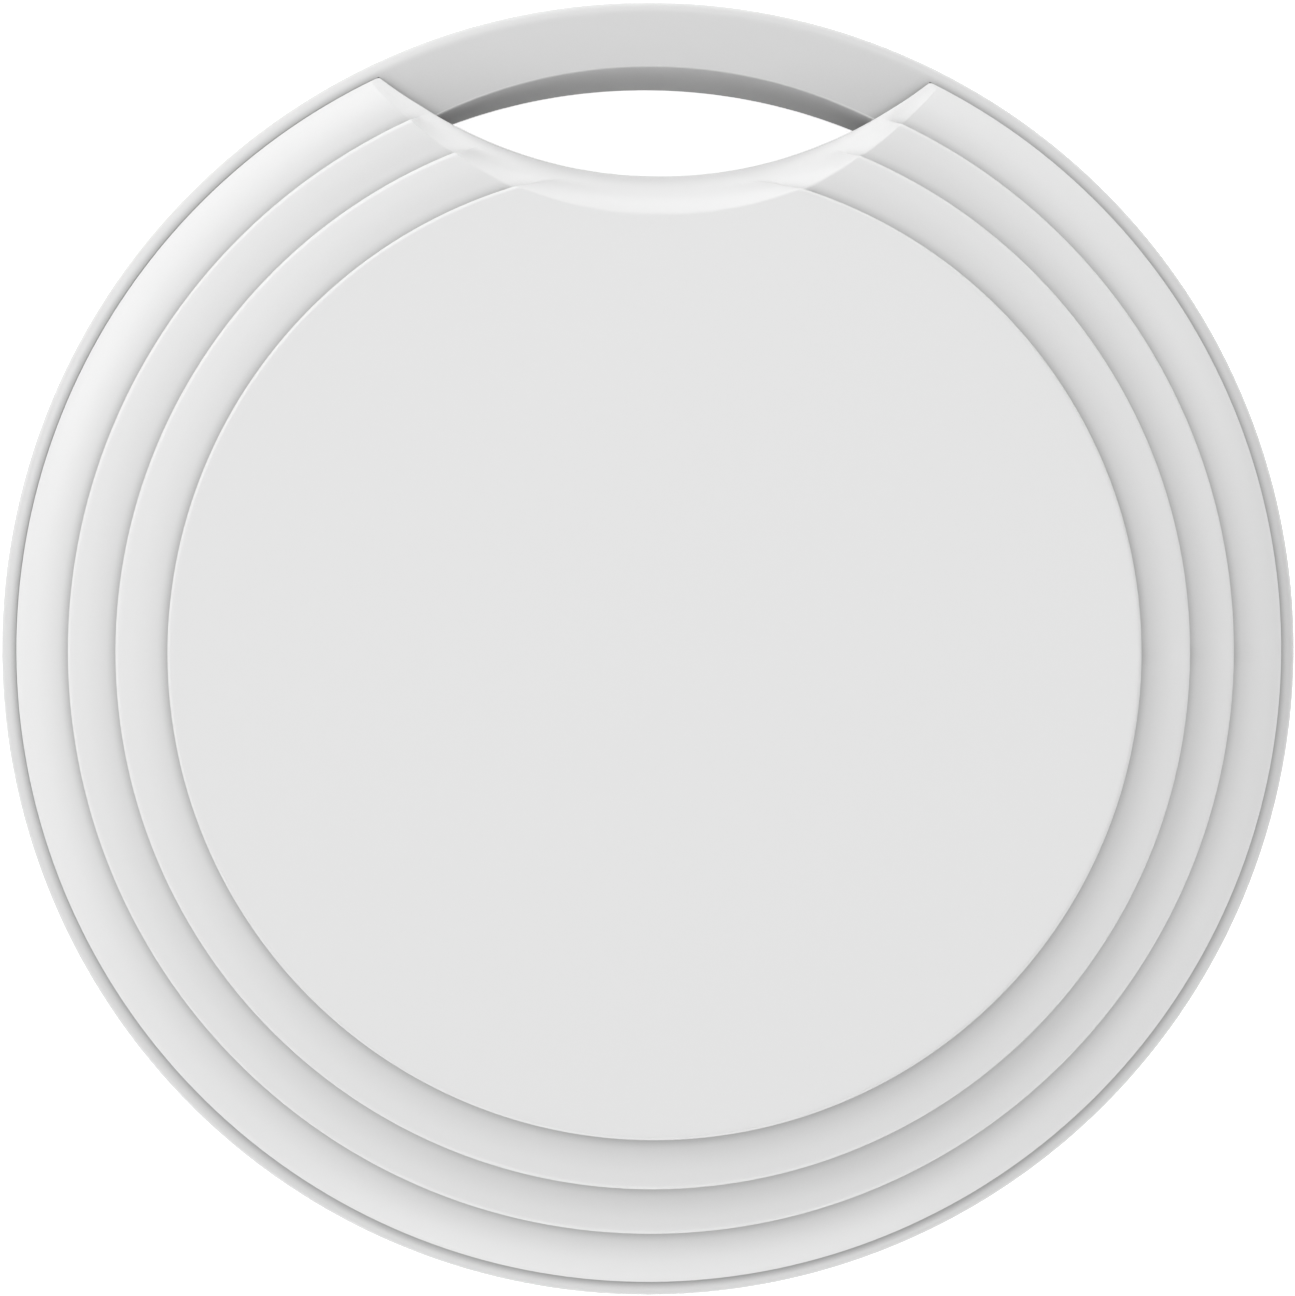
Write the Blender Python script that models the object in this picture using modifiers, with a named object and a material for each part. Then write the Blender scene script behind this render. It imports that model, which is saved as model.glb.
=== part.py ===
"""Round wireless tracker tag with a keyring slot, a coin cell, a board, a sounder and a push switch.

The tag lies on its back: +Z is its face, +Y is the keyring slot, and the origin is the centre of its back.
"""

import math

import bmesh
import bpy
from mathutils import Matrix

MM = 0.001

# Body
BODY_RADIUS = 20.0 * MM
REAR_WALL = 1.9 * MM
REAR_FLOOR = 1.0 * MM
BACK_ROUND = 1.2 * MM
RIM_ROUND = 0.25 * MM
SLOT_HEIGHT = 3.45 * MM
BITE_RADIUS = 13.55 * MM
SLOT_WALL = 1.7 * MM
CAVITY_CORNER = 1.3 * MM
SMALLEST_CORNER = 0.2 * MM

# Front cover, from its edge to its centre disc
FRONT_REVEAL = 0.3 * MM
LIP_HEIGHT = 0.18 * MM
SHOULDER_WIDTH = 1.77 * MM
SHOULDER_RISE = 0.65 * MM
SHOULDER_SLOPE = math.radians(8)
SHOULDER_FULLNESS = 0.95
FIRST_STEP = 0.55 * MM
OUTER_RING_WIDTH = 1.55 * MM
OUTER_RING_RISE = 0.27 * MM
SECOND_STEP = 0.69 * MM
INNER_RING_WIDTH = 1.65 * MM
INNER_RING_RISE = 0.28 * MM
THIRD_STEP = 0.58 * MM
STEP_ROUND = 0.1 * MM
FRONT_WALL = 1.1 * MM
SIDE_WALL = 0.9 * MM
SKIRT_WALL = 0.85 * MM

# Sloped band where the front cover meets the slot
BAND_BASE = 0.6 * MM
BAND_ON_SHOULDER = 0.45 * MM
BAND_ON_OUTER_RING = 0.85 * MM
BAND_ON_INNER_RING = 1.2 * MM
BAND_ON_DISC = 1.45 * MM
BAND_STAGGER = 0.03 * MM
BAND_FULLNESS = 0.4
BAND_STATIONS = (0.08, 0.3, 0.6, 1.0)
BAND_RUN_OUT = 1.0 * MM
BAND_RUN_OUT_SLOPE = math.radians(40)

# Seal
SEAL_WIDTH = 0.6 * MM
SEAL_GROOVE_DEPTH = 0.6 * MM
SEAL_INNER_WALL = 0.5 * MM
SEAL_SIDE_GAP = 0.06 * MM

# Fits
TOUCH = 0.05 * MM
FIT_GAP = 0.15 * MM
PART_GAP = 0.2 * MM
OVERLAP = 0.3 * MM
CUT_BEYOND = 1.0 * MM

# Sounder
SOUNDER_SEAT = 0.3 * MM
SOUNDER_SEAT_WIDTH = 1.2 * MM
TAPE_THICKNESS = 0.1 * MM
PLATE_RADIUS = 10.0 * MM
PLATE_THICKNESS = 0.2 * MM
CERAMIC_RADIUS = 7.0 * MM
CERAMIC_THICKNESS = 0.2 * MM
SOUNDER_SPACE = 0.65 * MM
SOUNDER_GAP = 1.0 * MM
LEAF_THICKNESS = 0.12 * MM
LEAF_WIDTH = 1.0 * MM
LEAF_FOOT = 1.2 * MM
LEAF_REACH = 1.4 * MM
LEAF_TAIL = 0.5 * MM
EDGE_LEAF_ANGLE = math.radians(135)

# Board
BOARD_THICKNESS = 0.8 * MM
BOARD_EDGE_GAP = 0.6 * MM
SKIRT_SPACE = 0.3 * MM
SCREW_INSET = 2.1 * MM
SCREW_ANGLES = (math.radians(8), math.radians(172), math.radians(270))
SCREW_HEAD_RADIUS = 1.2 * MM
SCREW_HEAD_HEIGHT = 0.5 * MM
SCREW_RADIUS = 0.5 * MM
SCREW_REACH = 1.1 * MM
SCREW_SOCKET_RADIUS = 0.5 * MM
SCREW_SOCKET_DEPTH = 0.25 * MM
SCREW_SOCKET_SIDES = 6
PILOT_GAP = 0.1 * MM
BOARD_HOLE_GAP = 0.25 * MM
BOSS_WALL = 0.95 * MM

# Coin cell
CELL_RADIUS = 10.0 * MM
CELL_HEIGHT = 3.2 * MM
CELL_ROUND = 0.25 * MM
CAP_INSET = 1.25 * MM
CAP_DROP = 0.3 * MM
CAP_ROUND = 0.2 * MM
CRIMP_WIDTH = 0.5 * MM
CRIMP_HEIGHT = 0.4 * MM
CELL_RECESS = 0.45 * MM
GASKET_WIDTH = 0.3 * MM

# Cell holder
CONTACT_SPACE = 0.35 * MM
CELL_PLAY = 0.15 * MM
CRADLE_WALL = 1.0 * MM
CRADLE_HEIGHT = 2.2 * MM
CRADLE_SHELF = 0.85 * MM
CONTACT_THICKNESS = 0.15 * MM
CONTACT_WIDTH = 3.0 * MM
CONTACT_FOOT = 1.6 * MM
CONTACT_SET_BACK = 0.35 * MM
CONTACT_BEND_HEIGHT = 1.5 * MM
CONTACT_TOUCH_HEIGHT = 2.0 * MM
CONTACT_TIP_HEIGHT = 2.7 * MM
CONTACT_TIP_OUT = 0.6 * MM
WINDOW_PLAY = 0.4 * MM
NEGATIVE_WIDTH = 4.0 * MM
NEGATIVE_FOOT = 6.0 * MM
NEGATIVE_KNEE = 3.5 * MM
NEGATIVE_CREST = 1.2 * MM

# Push switch
SWITCH_WIDTH = 3.9 * MM
SWITCH_DEPTH = 3.0 * MM
SWITCH_GAP = 0.45 * MM
SWITCH_BASE_HEIGHT = 1.3 * MM
SWITCH_FLOOR = 0.4 * MM
SWITCH_PLATE = 0.15 * MM
DOME_RADIUS = 1.15 * MM
DOME_HEIGHT = 0.3 * MM
DOME_THICKNESS = 0.08 * MM
WELL_GAP = 0.12 * MM
PLUNGER_RADIUS = 0.8 * MM
PLUNGER_FLANGE = 0.3 * MM
PLUNGER_STAND = 0.5 * MM
PLUNGER_ROUND = 0.12 * MM
PRESS_GAP = 0.1 * MM
POST_RADIUS = 0.8 * MM

# Foam pad
PAD_RADIUS = 6.0 * MM
PAD_THICKNESS = 0.25 * MM

# Smoothness of turned shapes
BODY_SEGMENTS = 72
CELL_SEGMENTS = 48
SMALL_SEGMENTS = 24
ARC_STEP = math.radians(5)
SHOULDER_STATIONS = (0.0, 0.25, 0.5, 0.7, 0.85, 1.0)
ROUND_STEPS = 3
DOME_STATIONS = 6
WELD = 0.0001 * MM

# Small parts on the board
PART_EDGE_SPACE = 1.7 * MM
ANTENNA_EDGE_SPACE = 2.5 * MM
RADIO_CHIP_INSET = 4.5 * MM
HORN_INSET = 4.5 * MM
SWITCH_SIDE_INSET = 6.0 * MM
RADIO_CHIP_SIDE = 5.0 * MM
RADIO_CHIP_HEIGHT = 0.85 * MM
ANTENNA_LENGTH = 5.0 * MM
ANTENNA_DEPTH = 1.6 * MM
ANTENNA_HEIGHT = 0.8 * MM
MAIN_CRYSTAL_LENGTH = 2.5 * MM
MAIN_CRYSTAL_DEPTH = 2.0 * MM
MAIN_CRYSTAL_HEIGHT = 0.6 * MM
CLOCK_CRYSTAL_LENGTH = 3.2 * MM
CLOCK_CRYSTAL_DEPTH = 1.5 * MM
CLOCK_CRYSTAL_HEIGHT = 0.75 * MM
INDUCTOR_LENGTH = 2.5 * MM
INDUCTOR_DEPTH = 2.0 * MM
INDUCTOR_HEIGHT = 1.2 * MM
DRIVER_LENGTH = 2.9 * MM
DRIVER_DEPTH = 1.6 * MM
DRIVER_HEIGHT = 1.0 * MM
SENSOR_SIDE = 2.0 * MM
SENSOR_HEIGHT = 0.9 * MM
SMALL_PART_LENGTH = 1.0 * MM
SMALL_PART_DEPTH = 0.5 * MM
CAPACITOR_HEIGHT = 0.5 * MM
RESISTOR_HEIGHT = 0.35 * MM
RADIO_CHIP_ANGLE = math.radians(131)
ANTENNA_ANGLE = math.radians(49)

# Colours: base colour, roughness and how metallic
COLOURS = {
    "white plastic": ((0.80, 0.80, 0.80, 1.0), 0.4, 0.0),
    "silicone": ((0.35, 0.36, 0.38, 1.0), 0.6, 0.0),
    "foam": ((0.05, 0.05, 0.055, 1.0), 0.95, 0.0),
    "tape": ((0.75, 0.72, 0.62, 1.0), 0.7, 0.0),
    "brass": ((0.75, 0.57, 0.25, 1.0), 0.3, 1.0),
    "ceramic": ((0.82, 0.80, 0.74, 1.0), 0.45, 0.0),
    "board": ((0.03, 0.10, 0.06, 1.0), 0.4, 0.0),
    "steel": ((0.62, 0.62, 0.63, 1.0), 0.28, 1.0),
    "sprung steel": ((0.70, 0.69, 0.66, 1.0), 0.3, 1.0),
    "black plastic": ((0.03, 0.03, 0.03, 1.0), 0.5, 0.0),
    "chip": ((0.02, 0.02, 0.022, 1.0), 0.45, 0.0),
    "pale ceramic": ((0.78, 0.76, 0.70, 1.0), 0.4, 0.0),
    "brown ceramic": ((0.35, 0.24, 0.15, 1.0), 0.5, 0.0),
}

# Places across the body
inner_radius = BODY_RADIUS - REAR_WALL
bite_y = inner_radius - SLOT_HEIGHT + BITE_RADIUS
front_radius = BODY_RADIUS - FRONT_REVEAL
outer_ring_radius = front_radius - SHOULDER_WIDTH
inner_ring_radius = outer_ring_radius - OUTER_RING_WIDTH
disc_radius = inner_ring_radius - INNER_RING_WIDTH
skirt_inset = FIT_GAP + SKIRT_WALL
board_radius = inner_radius - BOARD_EDGE_GAP
screw_ring = board_radius - SCREW_INSET
cradle_inner = CELL_RADIUS + CELL_PLAY
cradle_outer = cradle_inner + CRADLE_WALL
cell_y = cradle_outer + PART_GAP + SCREW_HEAD_RADIUS - screw_ring
cap_radius = CELL_RADIUS - CAP_INSET
switch_top = inner_radius - SLOT_HEIGHT - SLOT_WALL - skirt_inset - SWITCH_GAP
switch_y = switch_top - SWITCH_DEPTH / 2
pilot_radius = SCREW_RADIUS + PILOT_GAP
boss_radius = pilot_radius + BOSS_WALL
sounder_y = PLATE_RADIUS + SOUNDER_GAP + boss_radius - screw_ring

# Heights, from the back to the face
seat_top = REAR_FLOOR + SOUNDER_SEAT
tape_bottom = seat_top + TOUCH
tape_top = tape_bottom + TAPE_THICKNESS
plate_bottom = tape_top + TOUCH
plate_top = plate_bottom + PLATE_THICKNESS
ceramic_bottom = plate_top + TOUCH
ceramic_top = ceramic_bottom + CERAMIC_THICKNESS
board_bottom = ceramic_top + SOUNDER_SPACE
board_top = board_bottom + BOARD_THICKNESS
on_board = board_top + TOUCH
cap_bottom = board_top + CONTACT_SPACE
can_bottom = cap_bottom + CAP_DROP
recess_top = can_bottom + CELL_RECESS
can_top = cap_bottom + CELL_HEIGHT
pad_bottom = can_top + TOUCH
ceiling = pad_bottom + PAD_THICKNESS + TOUCH
face = ceiling + FRONT_WALL

# Heights of the front cover's steps, from the face down to the parting plane
inner_ring_top = face - THIRD_STEP
inner_ring_edge = inner_ring_top - INNER_RING_RISE
outer_ring_top = inner_ring_edge - SECOND_STEP
outer_ring_edge = outer_ring_top - OUTER_RING_RISE
shoulder_top = outer_ring_edge - FIRST_STEP
shoulder_edge = shoulder_top - SHOULDER_RISE
parting = shoulder_edge - LIP_HEIGHT
front_bottom = parting + TOUCH
skirt_bottom = board_top + SKIRT_SPACE
band_base = parting + BAND_BASE

# Heights inside the switch
well_bottom = on_board + SWITCH_FLOOR
dome_bottom = well_bottom + TOUCH
dome_top = dome_bottom + DOME_HEIGHT
switch_base_top = on_board + SWITCH_BASE_HEIGHT
plate_under = switch_base_top + TOUCH
plate_over = plate_under + SWITCH_PLATE
plunger_bottom = dome_top + TOUCH
plunger_top = plate_over + PLUNGER_STAND
flange_radius = PLUNGER_RADIUS + PLUNGER_FLANGE
well_radius = max(DOME_RADIUS, flange_radius) + WELL_GAP


def clear_scene():
    for old in list(bpy.data.objects):
        bpy.data.objects.remove(old, do_unlink=True)


def new_collection(name):
    collection = bpy.data.collections.new(name)
    bpy.context.scene.collection.children.link(collection)
    return collection


def make_materials():
    made = {}
    for name, (colour, roughness, metallic) in COLOURS.items():
        material = bpy.data.materials.new(name)
        material.use_nodes = True
        shader = material.node_tree.nodes["Principled BSDF"]
        shader.inputs["Base Color"].default_value = colour
        shader.inputs["Roughness"].default_value = roughness
        shader.inputs["Metallic"].default_value = metallic
        made[name] = material
    return made


def add_part(name, mesh, colour):
    """A node of the object, with a material of its own."""
    obj = bpy.data.objects.new(name, mesh)
    material = materials[colour].copy()
    material.name = name
    obj.data.materials.append(material)
    parts.objects.link(obj)
    return obj


def add_helper(name, mesh):
    """A shape that a Boolean cuts away or adds."""
    obj = bpy.data.objects.new(name, mesh)
    obj.hide_render = True
    obj.display_type = "WIRE"
    helpers.objects.link(obj)
    return obj


def turn(obj, segments):
    """Turns the profile about Z."""
    screw = obj.modifiers.new("Turn", "SCREW")
    screw.axis = "Z"
    screw.angle = math.tau
    screw.steps = segments
    screw.render_steps = segments
    screw.use_merge_vertices = True
    screw.merge_threshold = WELD
    return obj


def profile_mesh(name, points, closed=False):
    """The half section of a turned shape, as (radius, height) points."""
    edges = [(i, i + 1) for i in range(len(points) - 1)]
    if closed:
        edges.append((len(points) - 1, 0))
    mesh = bpy.data.meshes.new(name)
    mesh.from_pydata([(radius, 0, height) for radius, height in points], edges, [])
    return mesh


def cylinder_profile(radius, bottom, top):
    return [(0, top), (radius, top), (radius, bottom), (0, bottom)]


def ring_profile(inner, outer, bottom, top):
    return [(inner, top), (outer, top), (outer, bottom), (inner, bottom)]


def arc(centre, radius, start, end):
    """Points along an arc, both ends included."""
    steps = max(2, round(abs(end - start) / ARC_STEP))
    angles = [start + (end - start) * i / steps for i in range(steps + 1)]
    return [(centre[0] + radius * math.cos(a), centre[1] + radius * math.sin(a)) for a in angles]


def moon(inset, slot_inset=None):
    """The outline of the cavity behind the slot, moved in by the inset, with rounded horns."""
    slot_inset = inset if slot_inset is None else slot_inset
    outer = inner_radius - inset
    bite = BITE_RADIUS + SLOT_WALL + slot_inset
    corner = max(CAVITY_CORNER - inset, SMALLEST_CORNER)
    reach = outer - corner
    y = (reach**2 - (bite + corner) ** 2 + bite_y**2) / (2 * bite_y)
    x = math.sqrt(reach**2 - y**2)
    rim_angle = math.atan2(y, x)
    bite_angle = math.atan2(y - bite_y, x)
    points = arc((0, 0), outer, math.pi - rim_angle, math.tau + rim_angle)
    points += arc((x, y), corner, rim_angle, bite_angle + math.pi)[1:]
    points += arc((0, bite_y), bite, bite_angle, -math.pi - bite_angle)[1:]
    points += arc((-x, y), corner, -bite_angle, math.pi - rim_angle)[1:-1]
    return points


def slot_outline():
    """The lens between the bail and the arc that bites into the covers."""
    y = (inner_radius**2 - BITE_RADIUS**2 + bite_y**2) / (2 * bite_y)
    x = math.sqrt(inner_radius**2 - y**2)
    rim_angle = math.atan2(y, x)
    bite_angle = math.atan2(y - bite_y, x)
    points = arc((0, 0), inner_radius, rim_angle, math.pi - rim_angle)
    points += arc((0, bite_y), BITE_RADIUS, -math.pi - bite_angle, bite_angle)[1:-1]
    return points


def prism_mesh(name, outlines, bottom, top):
    """A flat outline, or one with holes in it, given a thickness."""
    curve = bpy.data.curves.new(name, "CURVE")
    curve.dimensions = "2D"
    curve.fill_mode = "BOTH"
    curve.extrude = (top - bottom) / 2
    for outline in outlines:
        spline = curve.splines.new("POLY")
        spline.points.add(len(outline) - 1)
        spline.use_cyclic_u = True
        for point, (x, y) in zip(spline.points, outline):
            point.co = (x, y, 0, 1)
    drawn = bpy.data.objects.new(name, curve)
    helpers.objects.link(drawn)
    bpy.context.view_layer.update()
    mesh = bpy.data.meshes.new_from_object(drawn.evaluated_get(bpy.context.evaluated_depsgraph_get()))
    bpy.data.objects.remove(drawn)
    shape = bmesh.new()
    shape.from_mesh(mesh)
    bmesh.ops.remove_doubles(shape, verts=shape.verts, dist=WELD)
    bmesh.ops.translate(shape, verts=shape.verts, vec=(0, 0, (bottom + top) / 2))
    bmesh.ops.recalc_face_normals(shape, faces=shape.faces)
    shape.to_mesh(mesh)
    shape.free()
    mesh.name = name
    return mesh


def block_mesh(name, length, depth, height):
    """A box that stands on its origin."""
    mesh = bpy.data.meshes.new(name)
    shape = bmesh.new()
    bmesh.ops.create_cube(shape, size=1)
    bmesh.ops.scale(shape, verts=shape.verts, vec=(length, depth, height))
    bmesh.ops.translate(shape, verts=shape.verts, vec=(0, 0, height / 2))
    shape.to_mesh(mesh)
    shape.free()
    return mesh


def strip_outline(path, thickness):
    """The two sides of a bent strip whose middle line is the path."""
    left = []
    right = []
    for i, (x, y) in enumerate(path):
        before = path[max(i - 1, 0)]
        after = path[min(i + 1, len(path) - 1)]
        into = math.atan2(y - before[1], x - before[0]) if i else None
        out = math.atan2(after[1] - y, after[0] - x) if i < len(path) - 1 else into
        into = out if into is None else into
        half_turn = ((out - into + math.pi) % math.tau - math.pi) / 2
        side = into + half_turn + math.pi / 2
        reach = thickness / 2 / math.cos(half_turn)
        left.append((x + reach * math.cos(side), y + reach * math.sin(side)))
        right.append((x - reach * math.cos(side), y - reach * math.sin(side)))
    return left + right[::-1]


def strip_mesh(name, path, thickness, width):
    """A bent strip whose path is drawn in X and Z."""
    mesh = prism_mesh(name, [strip_outline(path, thickness)], -width / 2, width / 2)
    mesh.transform(Matrix.Rotation(math.pi / 2, 4, "X"))
    return mesh


def boolean(obj, shapes, operation):
    """Cuts away or adds all the shapes in one step."""
    group = bpy.data.collections.new(f"{obj.name} {operation.lower()}")
    helpers.children.link(group)
    group.hide_render = True
    for shape in shapes:
        group.objects.link(shape)
    modifier = obj.modifiers.new(operation.title(), "BOOLEAN")
    modifier.operation = operation
    modifier.solver = "EXACT"
    modifier.operand_type = "COLLECTION"
    modifier.collection = group


def cut(obj, *shapes):
    boolean(obj, shapes, "DIFFERENCE")


def join(obj, *shapes):
    boolean(obj, shapes, "UNION")


def round_corner(centre, radius, start, end):
    """Points of a rounded corner in a profile."""
    angles = [start + (end - start) * i / ROUND_STEPS for i in range(ROUND_STEPS + 1)]
    return [(centre[0] + radius * math.cos(a), centre[1] + radius * math.sin(a)) for a in angles]


def on_ring(radius, angle):
    return (radius * math.cos(angle), radius * math.sin(angle), 0)


def build_rear_cover():
    """Pan with the bail, the slot, the seal groove, the screw bosses and the sounder seat."""
    profile = [(0, parting)]
    rim_centre = (BODY_RADIUS - RIM_ROUND, parting - RIM_ROUND)
    profile += round_corner(rim_centre, RIM_ROUND, math.pi / 2, 0)
    profile += round_corner((BODY_RADIUS - BACK_ROUND, BACK_ROUND), BACK_ROUND, 0, -math.pi / 2)
    profile.append((0, 0))
    cover = add_part("rear_cover", profile_mesh("rear_cover", profile), "white plastic")
    turn(cover, BODY_SEGMENTS)
    above = parting + CUT_BEYOND
    groove_outer = -SEAL_INNER_WALL - SEAL_WIDTH - 2 * SEAL_SIDE_GAP
    groove = [moon(groove_outer), moon(-SEAL_INNER_WALL)]
    cut(
        cover,
        add_helper("cut_cavity", prism_mesh("cut_cavity", [moon(0)], REAR_FLOOR, above)),
        add_helper("cut_slot", prism_mesh("cut_slot", [slot_outline()], -CUT_BEYOND, above)),
        add_helper("cut_groove", prism_mesh("cut_groove", groove, parting - SEAL_GROOVE_DEPTH, above)),
    )
    seat = ring_profile(PLATE_RADIUS - SOUNDER_SEAT_WIDTH, PLATE_RADIUS, REAR_FLOOR - OVERLAP, seat_top)
    seat_shape = add_helper("add_sounder_seat", profile_mesh("add_sounder_seat", seat, closed=True))
    turn(seat_shape, CELL_SEGMENTS).location = (0, sounder_y, 0)
    added = [seat_shape]
    boss_top = board_bottom - TOUCH
    boss = [
        (0, board_bottom - SCREW_REACH - PILOT_GAP),
        (pilot_radius, board_bottom - SCREW_REACH - PILOT_GAP),
        (pilot_radius, boss_top),
        (boss_radius, boss_top),
        (boss_radius, REAR_FLOOR - OVERLAP),
        (0, REAR_FLOOR - OVERLAP),
    ]
    for number, angle in enumerate(SCREW_ANGLES, 1):
        name = f"add_boss_{number}"
        boss_shape = turn(add_helper(name, profile_mesh(name, boss)), SMALL_SEGMENTS)
        boss_shape.location = on_ring(screw_ring, angle)
        added.append(boss_shape)
    join(cover, *added)


def build_seal():
    outer = moon(-SEAL_INNER_WALL - SEAL_SIDE_GAP - SEAL_WIDTH)
    inner = moon(-SEAL_INNER_WALL - SEAL_SIDE_GAP)
    bottom = parting - SEAL_GROOVE_DEPTH + TOUCH
    add_part("seal_ring", prism_mesh("seal_ring", [outer, inner], bottom, parting), "silicone")


def shoulder_height(share):
    """Height of the outer shoulder, from its inner end at share 0 to its lip at share 1."""
    straight = SHOULDER_WIDTH * math.tan(SHOULDER_SLOPE)
    bend = 1 - math.sqrt(1 - (SHOULDER_FULLNESS * share) ** 2)
    full_bend = 1 - math.sqrt(1 - SHOULDER_FULLNESS**2)
    return shoulder_top - straight * share - (SHOULDER_RISE - straight) * bend / full_bend


def band_cutter(name, stagger, width, top):
    """Turned about the slot's arc: a steep wall that leans back as it rises."""
    full = math.sqrt(1 - (1 - BAND_FULLNESS) ** 2)
    edge = BITE_RADIUS + stagger
    run_out_top = top + BAND_RUN_OUT * math.tan(BAND_RUN_OUT_SLOPE)
    rising = [(edge, parting - CUT_BEYOND), (edge, band_base)]
    for share in BAND_STATIONS:
        lift = math.sqrt(1 - (1 - BAND_FULLNESS * share) ** 2) / full
        rising.append((edge + width * share, band_base + (top - band_base) * lift))
    rising.append((edge + width + BAND_RUN_OUT, run_out_top))
    profile = [(0, run_out_top)] + rising[::-1] + [(0, parting - CUT_BEYOND)]
    helper = turn(add_helper(name, profile_mesh(name, profile)), BODY_SEGMENTS)
    helper.location = (0, bite_y, 0)
    return helper


def ring_disc(name, radius, next_radius, edge_height, next_height, bottom):
    """One step of the front cover: a ring that slopes up to the next step, solid below it."""
    profile = [
        (0, next_height),
        (next_radius, next_height),
        (radius - STEP_ROUND, edge_height),
        (radius, edge_height - STEP_ROUND),
        (radius, bottom),
        (0, bottom),
    ]
    return turn(add_helper(name, profile_mesh(name, profile)), BODY_SEGMENTS)


def build_front_cover():
    """Stepped lid: each step is cut by its own band along the slot, then all are joined and hollowed."""
    profile = [(0, shoulder_top)]
    profile += [
        (outer_ring_radius + SHOULDER_WIDTH * share, shoulder_height(share)) for share in SHOULDER_STATIONS
    ]
    profile += [(front_radius, front_bottom), (0, front_bottom)]
    cover = add_part("front_cover", profile_mesh("front_cover", profile), "white plastic")
    turn(cover, BODY_SEGMENTS)
    cut(cover, band_cutter("cut_band_shoulder", 0, BAND_ON_SHOULDER, shoulder_top))
    steps = (
        ("outer", outer_ring_radius, inner_ring_radius, outer_ring_edge, outer_ring_top, BAND_ON_OUTER_RING),
        ("inner", inner_ring_radius, disc_radius, inner_ring_edge, inner_ring_top, BAND_ON_INNER_RING),
        ("disc", disc_radius, disc_radius - 2 * STEP_ROUND, face, face, BAND_ON_DISC),
    )
    added = []
    for level, (step, radius, next_radius, edge_height, next_height, band_width) in enumerate(steps, 1):
        stagger = level * BAND_STAGGER
        bottom = band_base - level * OVERLAP / len(steps)
        disc = ring_disc(f"add_{step}", radius, next_radius, edge_height, next_height, bottom)
        cut(disc, band_cutter(f"cut_band_{step}", stagger, band_width - stagger, next_height))
        added.append(disc)
    plug = prism_mesh("add_skirt", [moon(FIT_GAP)], skirt_bottom, band_base - OVERLAP - TOUCH)
    added.append(add_helper("add_skirt", plug))
    join(cover, *added)
    below = skirt_bottom - CUT_BEYOND
    hollows = (
        ("cut_hollow_low", skirt_inset, outer_ring_edge - FRONT_WALL),
        ("cut_hollow_middle", inner_radius - inner_ring_radius + SIDE_WALL, inner_ring_edge - FRONT_WALL),
        ("cut_hollow_top", inner_radius - disc_radius + SIDE_WALL, ceiling),
    )
    removed = []
    for name, inset, top in hollows:
        removed.append(add_helper(name, prism_mesh(name, [moon(inset, skirt_inset)], below, top)))
    cut(cover, *removed)
    post = cylinder_profile(POST_RADIUS, plunger_top + PRESS_GAP, ceiling + OVERLAP)
    post_shape = turn(add_helper("add_press_post", profile_mesh("add_press_post", post)), SMALL_SEGMENTS)
    post_shape.location = (0, switch_y, 0)
    join(cover, post_shape)


def build_sounder():
    tape = ring_profile(PLATE_RADIUS - SOUNDER_SEAT_WIDTH, PLATE_RADIUS, tape_bottom, tape_top)
    plate = cylinder_profile(PLATE_RADIUS, plate_bottom, plate_top)
    ceramic = cylinder_profile(CERAMIC_RADIUS, ceramic_bottom, ceramic_top)
    layers = (
        ("piezo_tape", tape, True, "tape"),
        ("piezo_plate", plate, False, "brass"),
        ("piezo_ceramic", ceramic, False, "ceramic"),
    )
    for name, profile, closed, colour in layers:
        layer = turn(add_part(name, profile_mesh(name, profile, closed), colour), CELL_SEGMENTS)
        layer.location = (0, sounder_y, 0)
    half = LEAF_THICKNESS / 2
    foot_height = board_bottom - TOUCH - half
    edge_ring = (CERAMIC_RADIUS + PLATE_RADIUS) / 2
    leaves = (
        ("piezo_contact_center", ceramic_top, 0, 0),
        ("piezo_contact_edge", plate_top, edge_ring, EDGE_LEAF_ANGLE),
    )
    for name, target, ring, angle in leaves:
        low = target + TOUCH + half
        path = [
            (-LEAF_REACH - LEAF_FOOT, foot_height),
            (-LEAF_REACH, foot_height),
            (0, low),
            (LEAF_TAIL, low + LEAF_TAIL / 2),
        ]
        leaf = add_part(name, strip_mesh(name, path, LEAF_THICKNESS, LEAF_WIDTH), "sprung steel")
        x, y, height = on_ring(ring, angle)
        leaf.location = (x, y + sounder_y, height)
        leaf.rotation_euler = (0, 0, angle + math.pi / 2)


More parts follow.
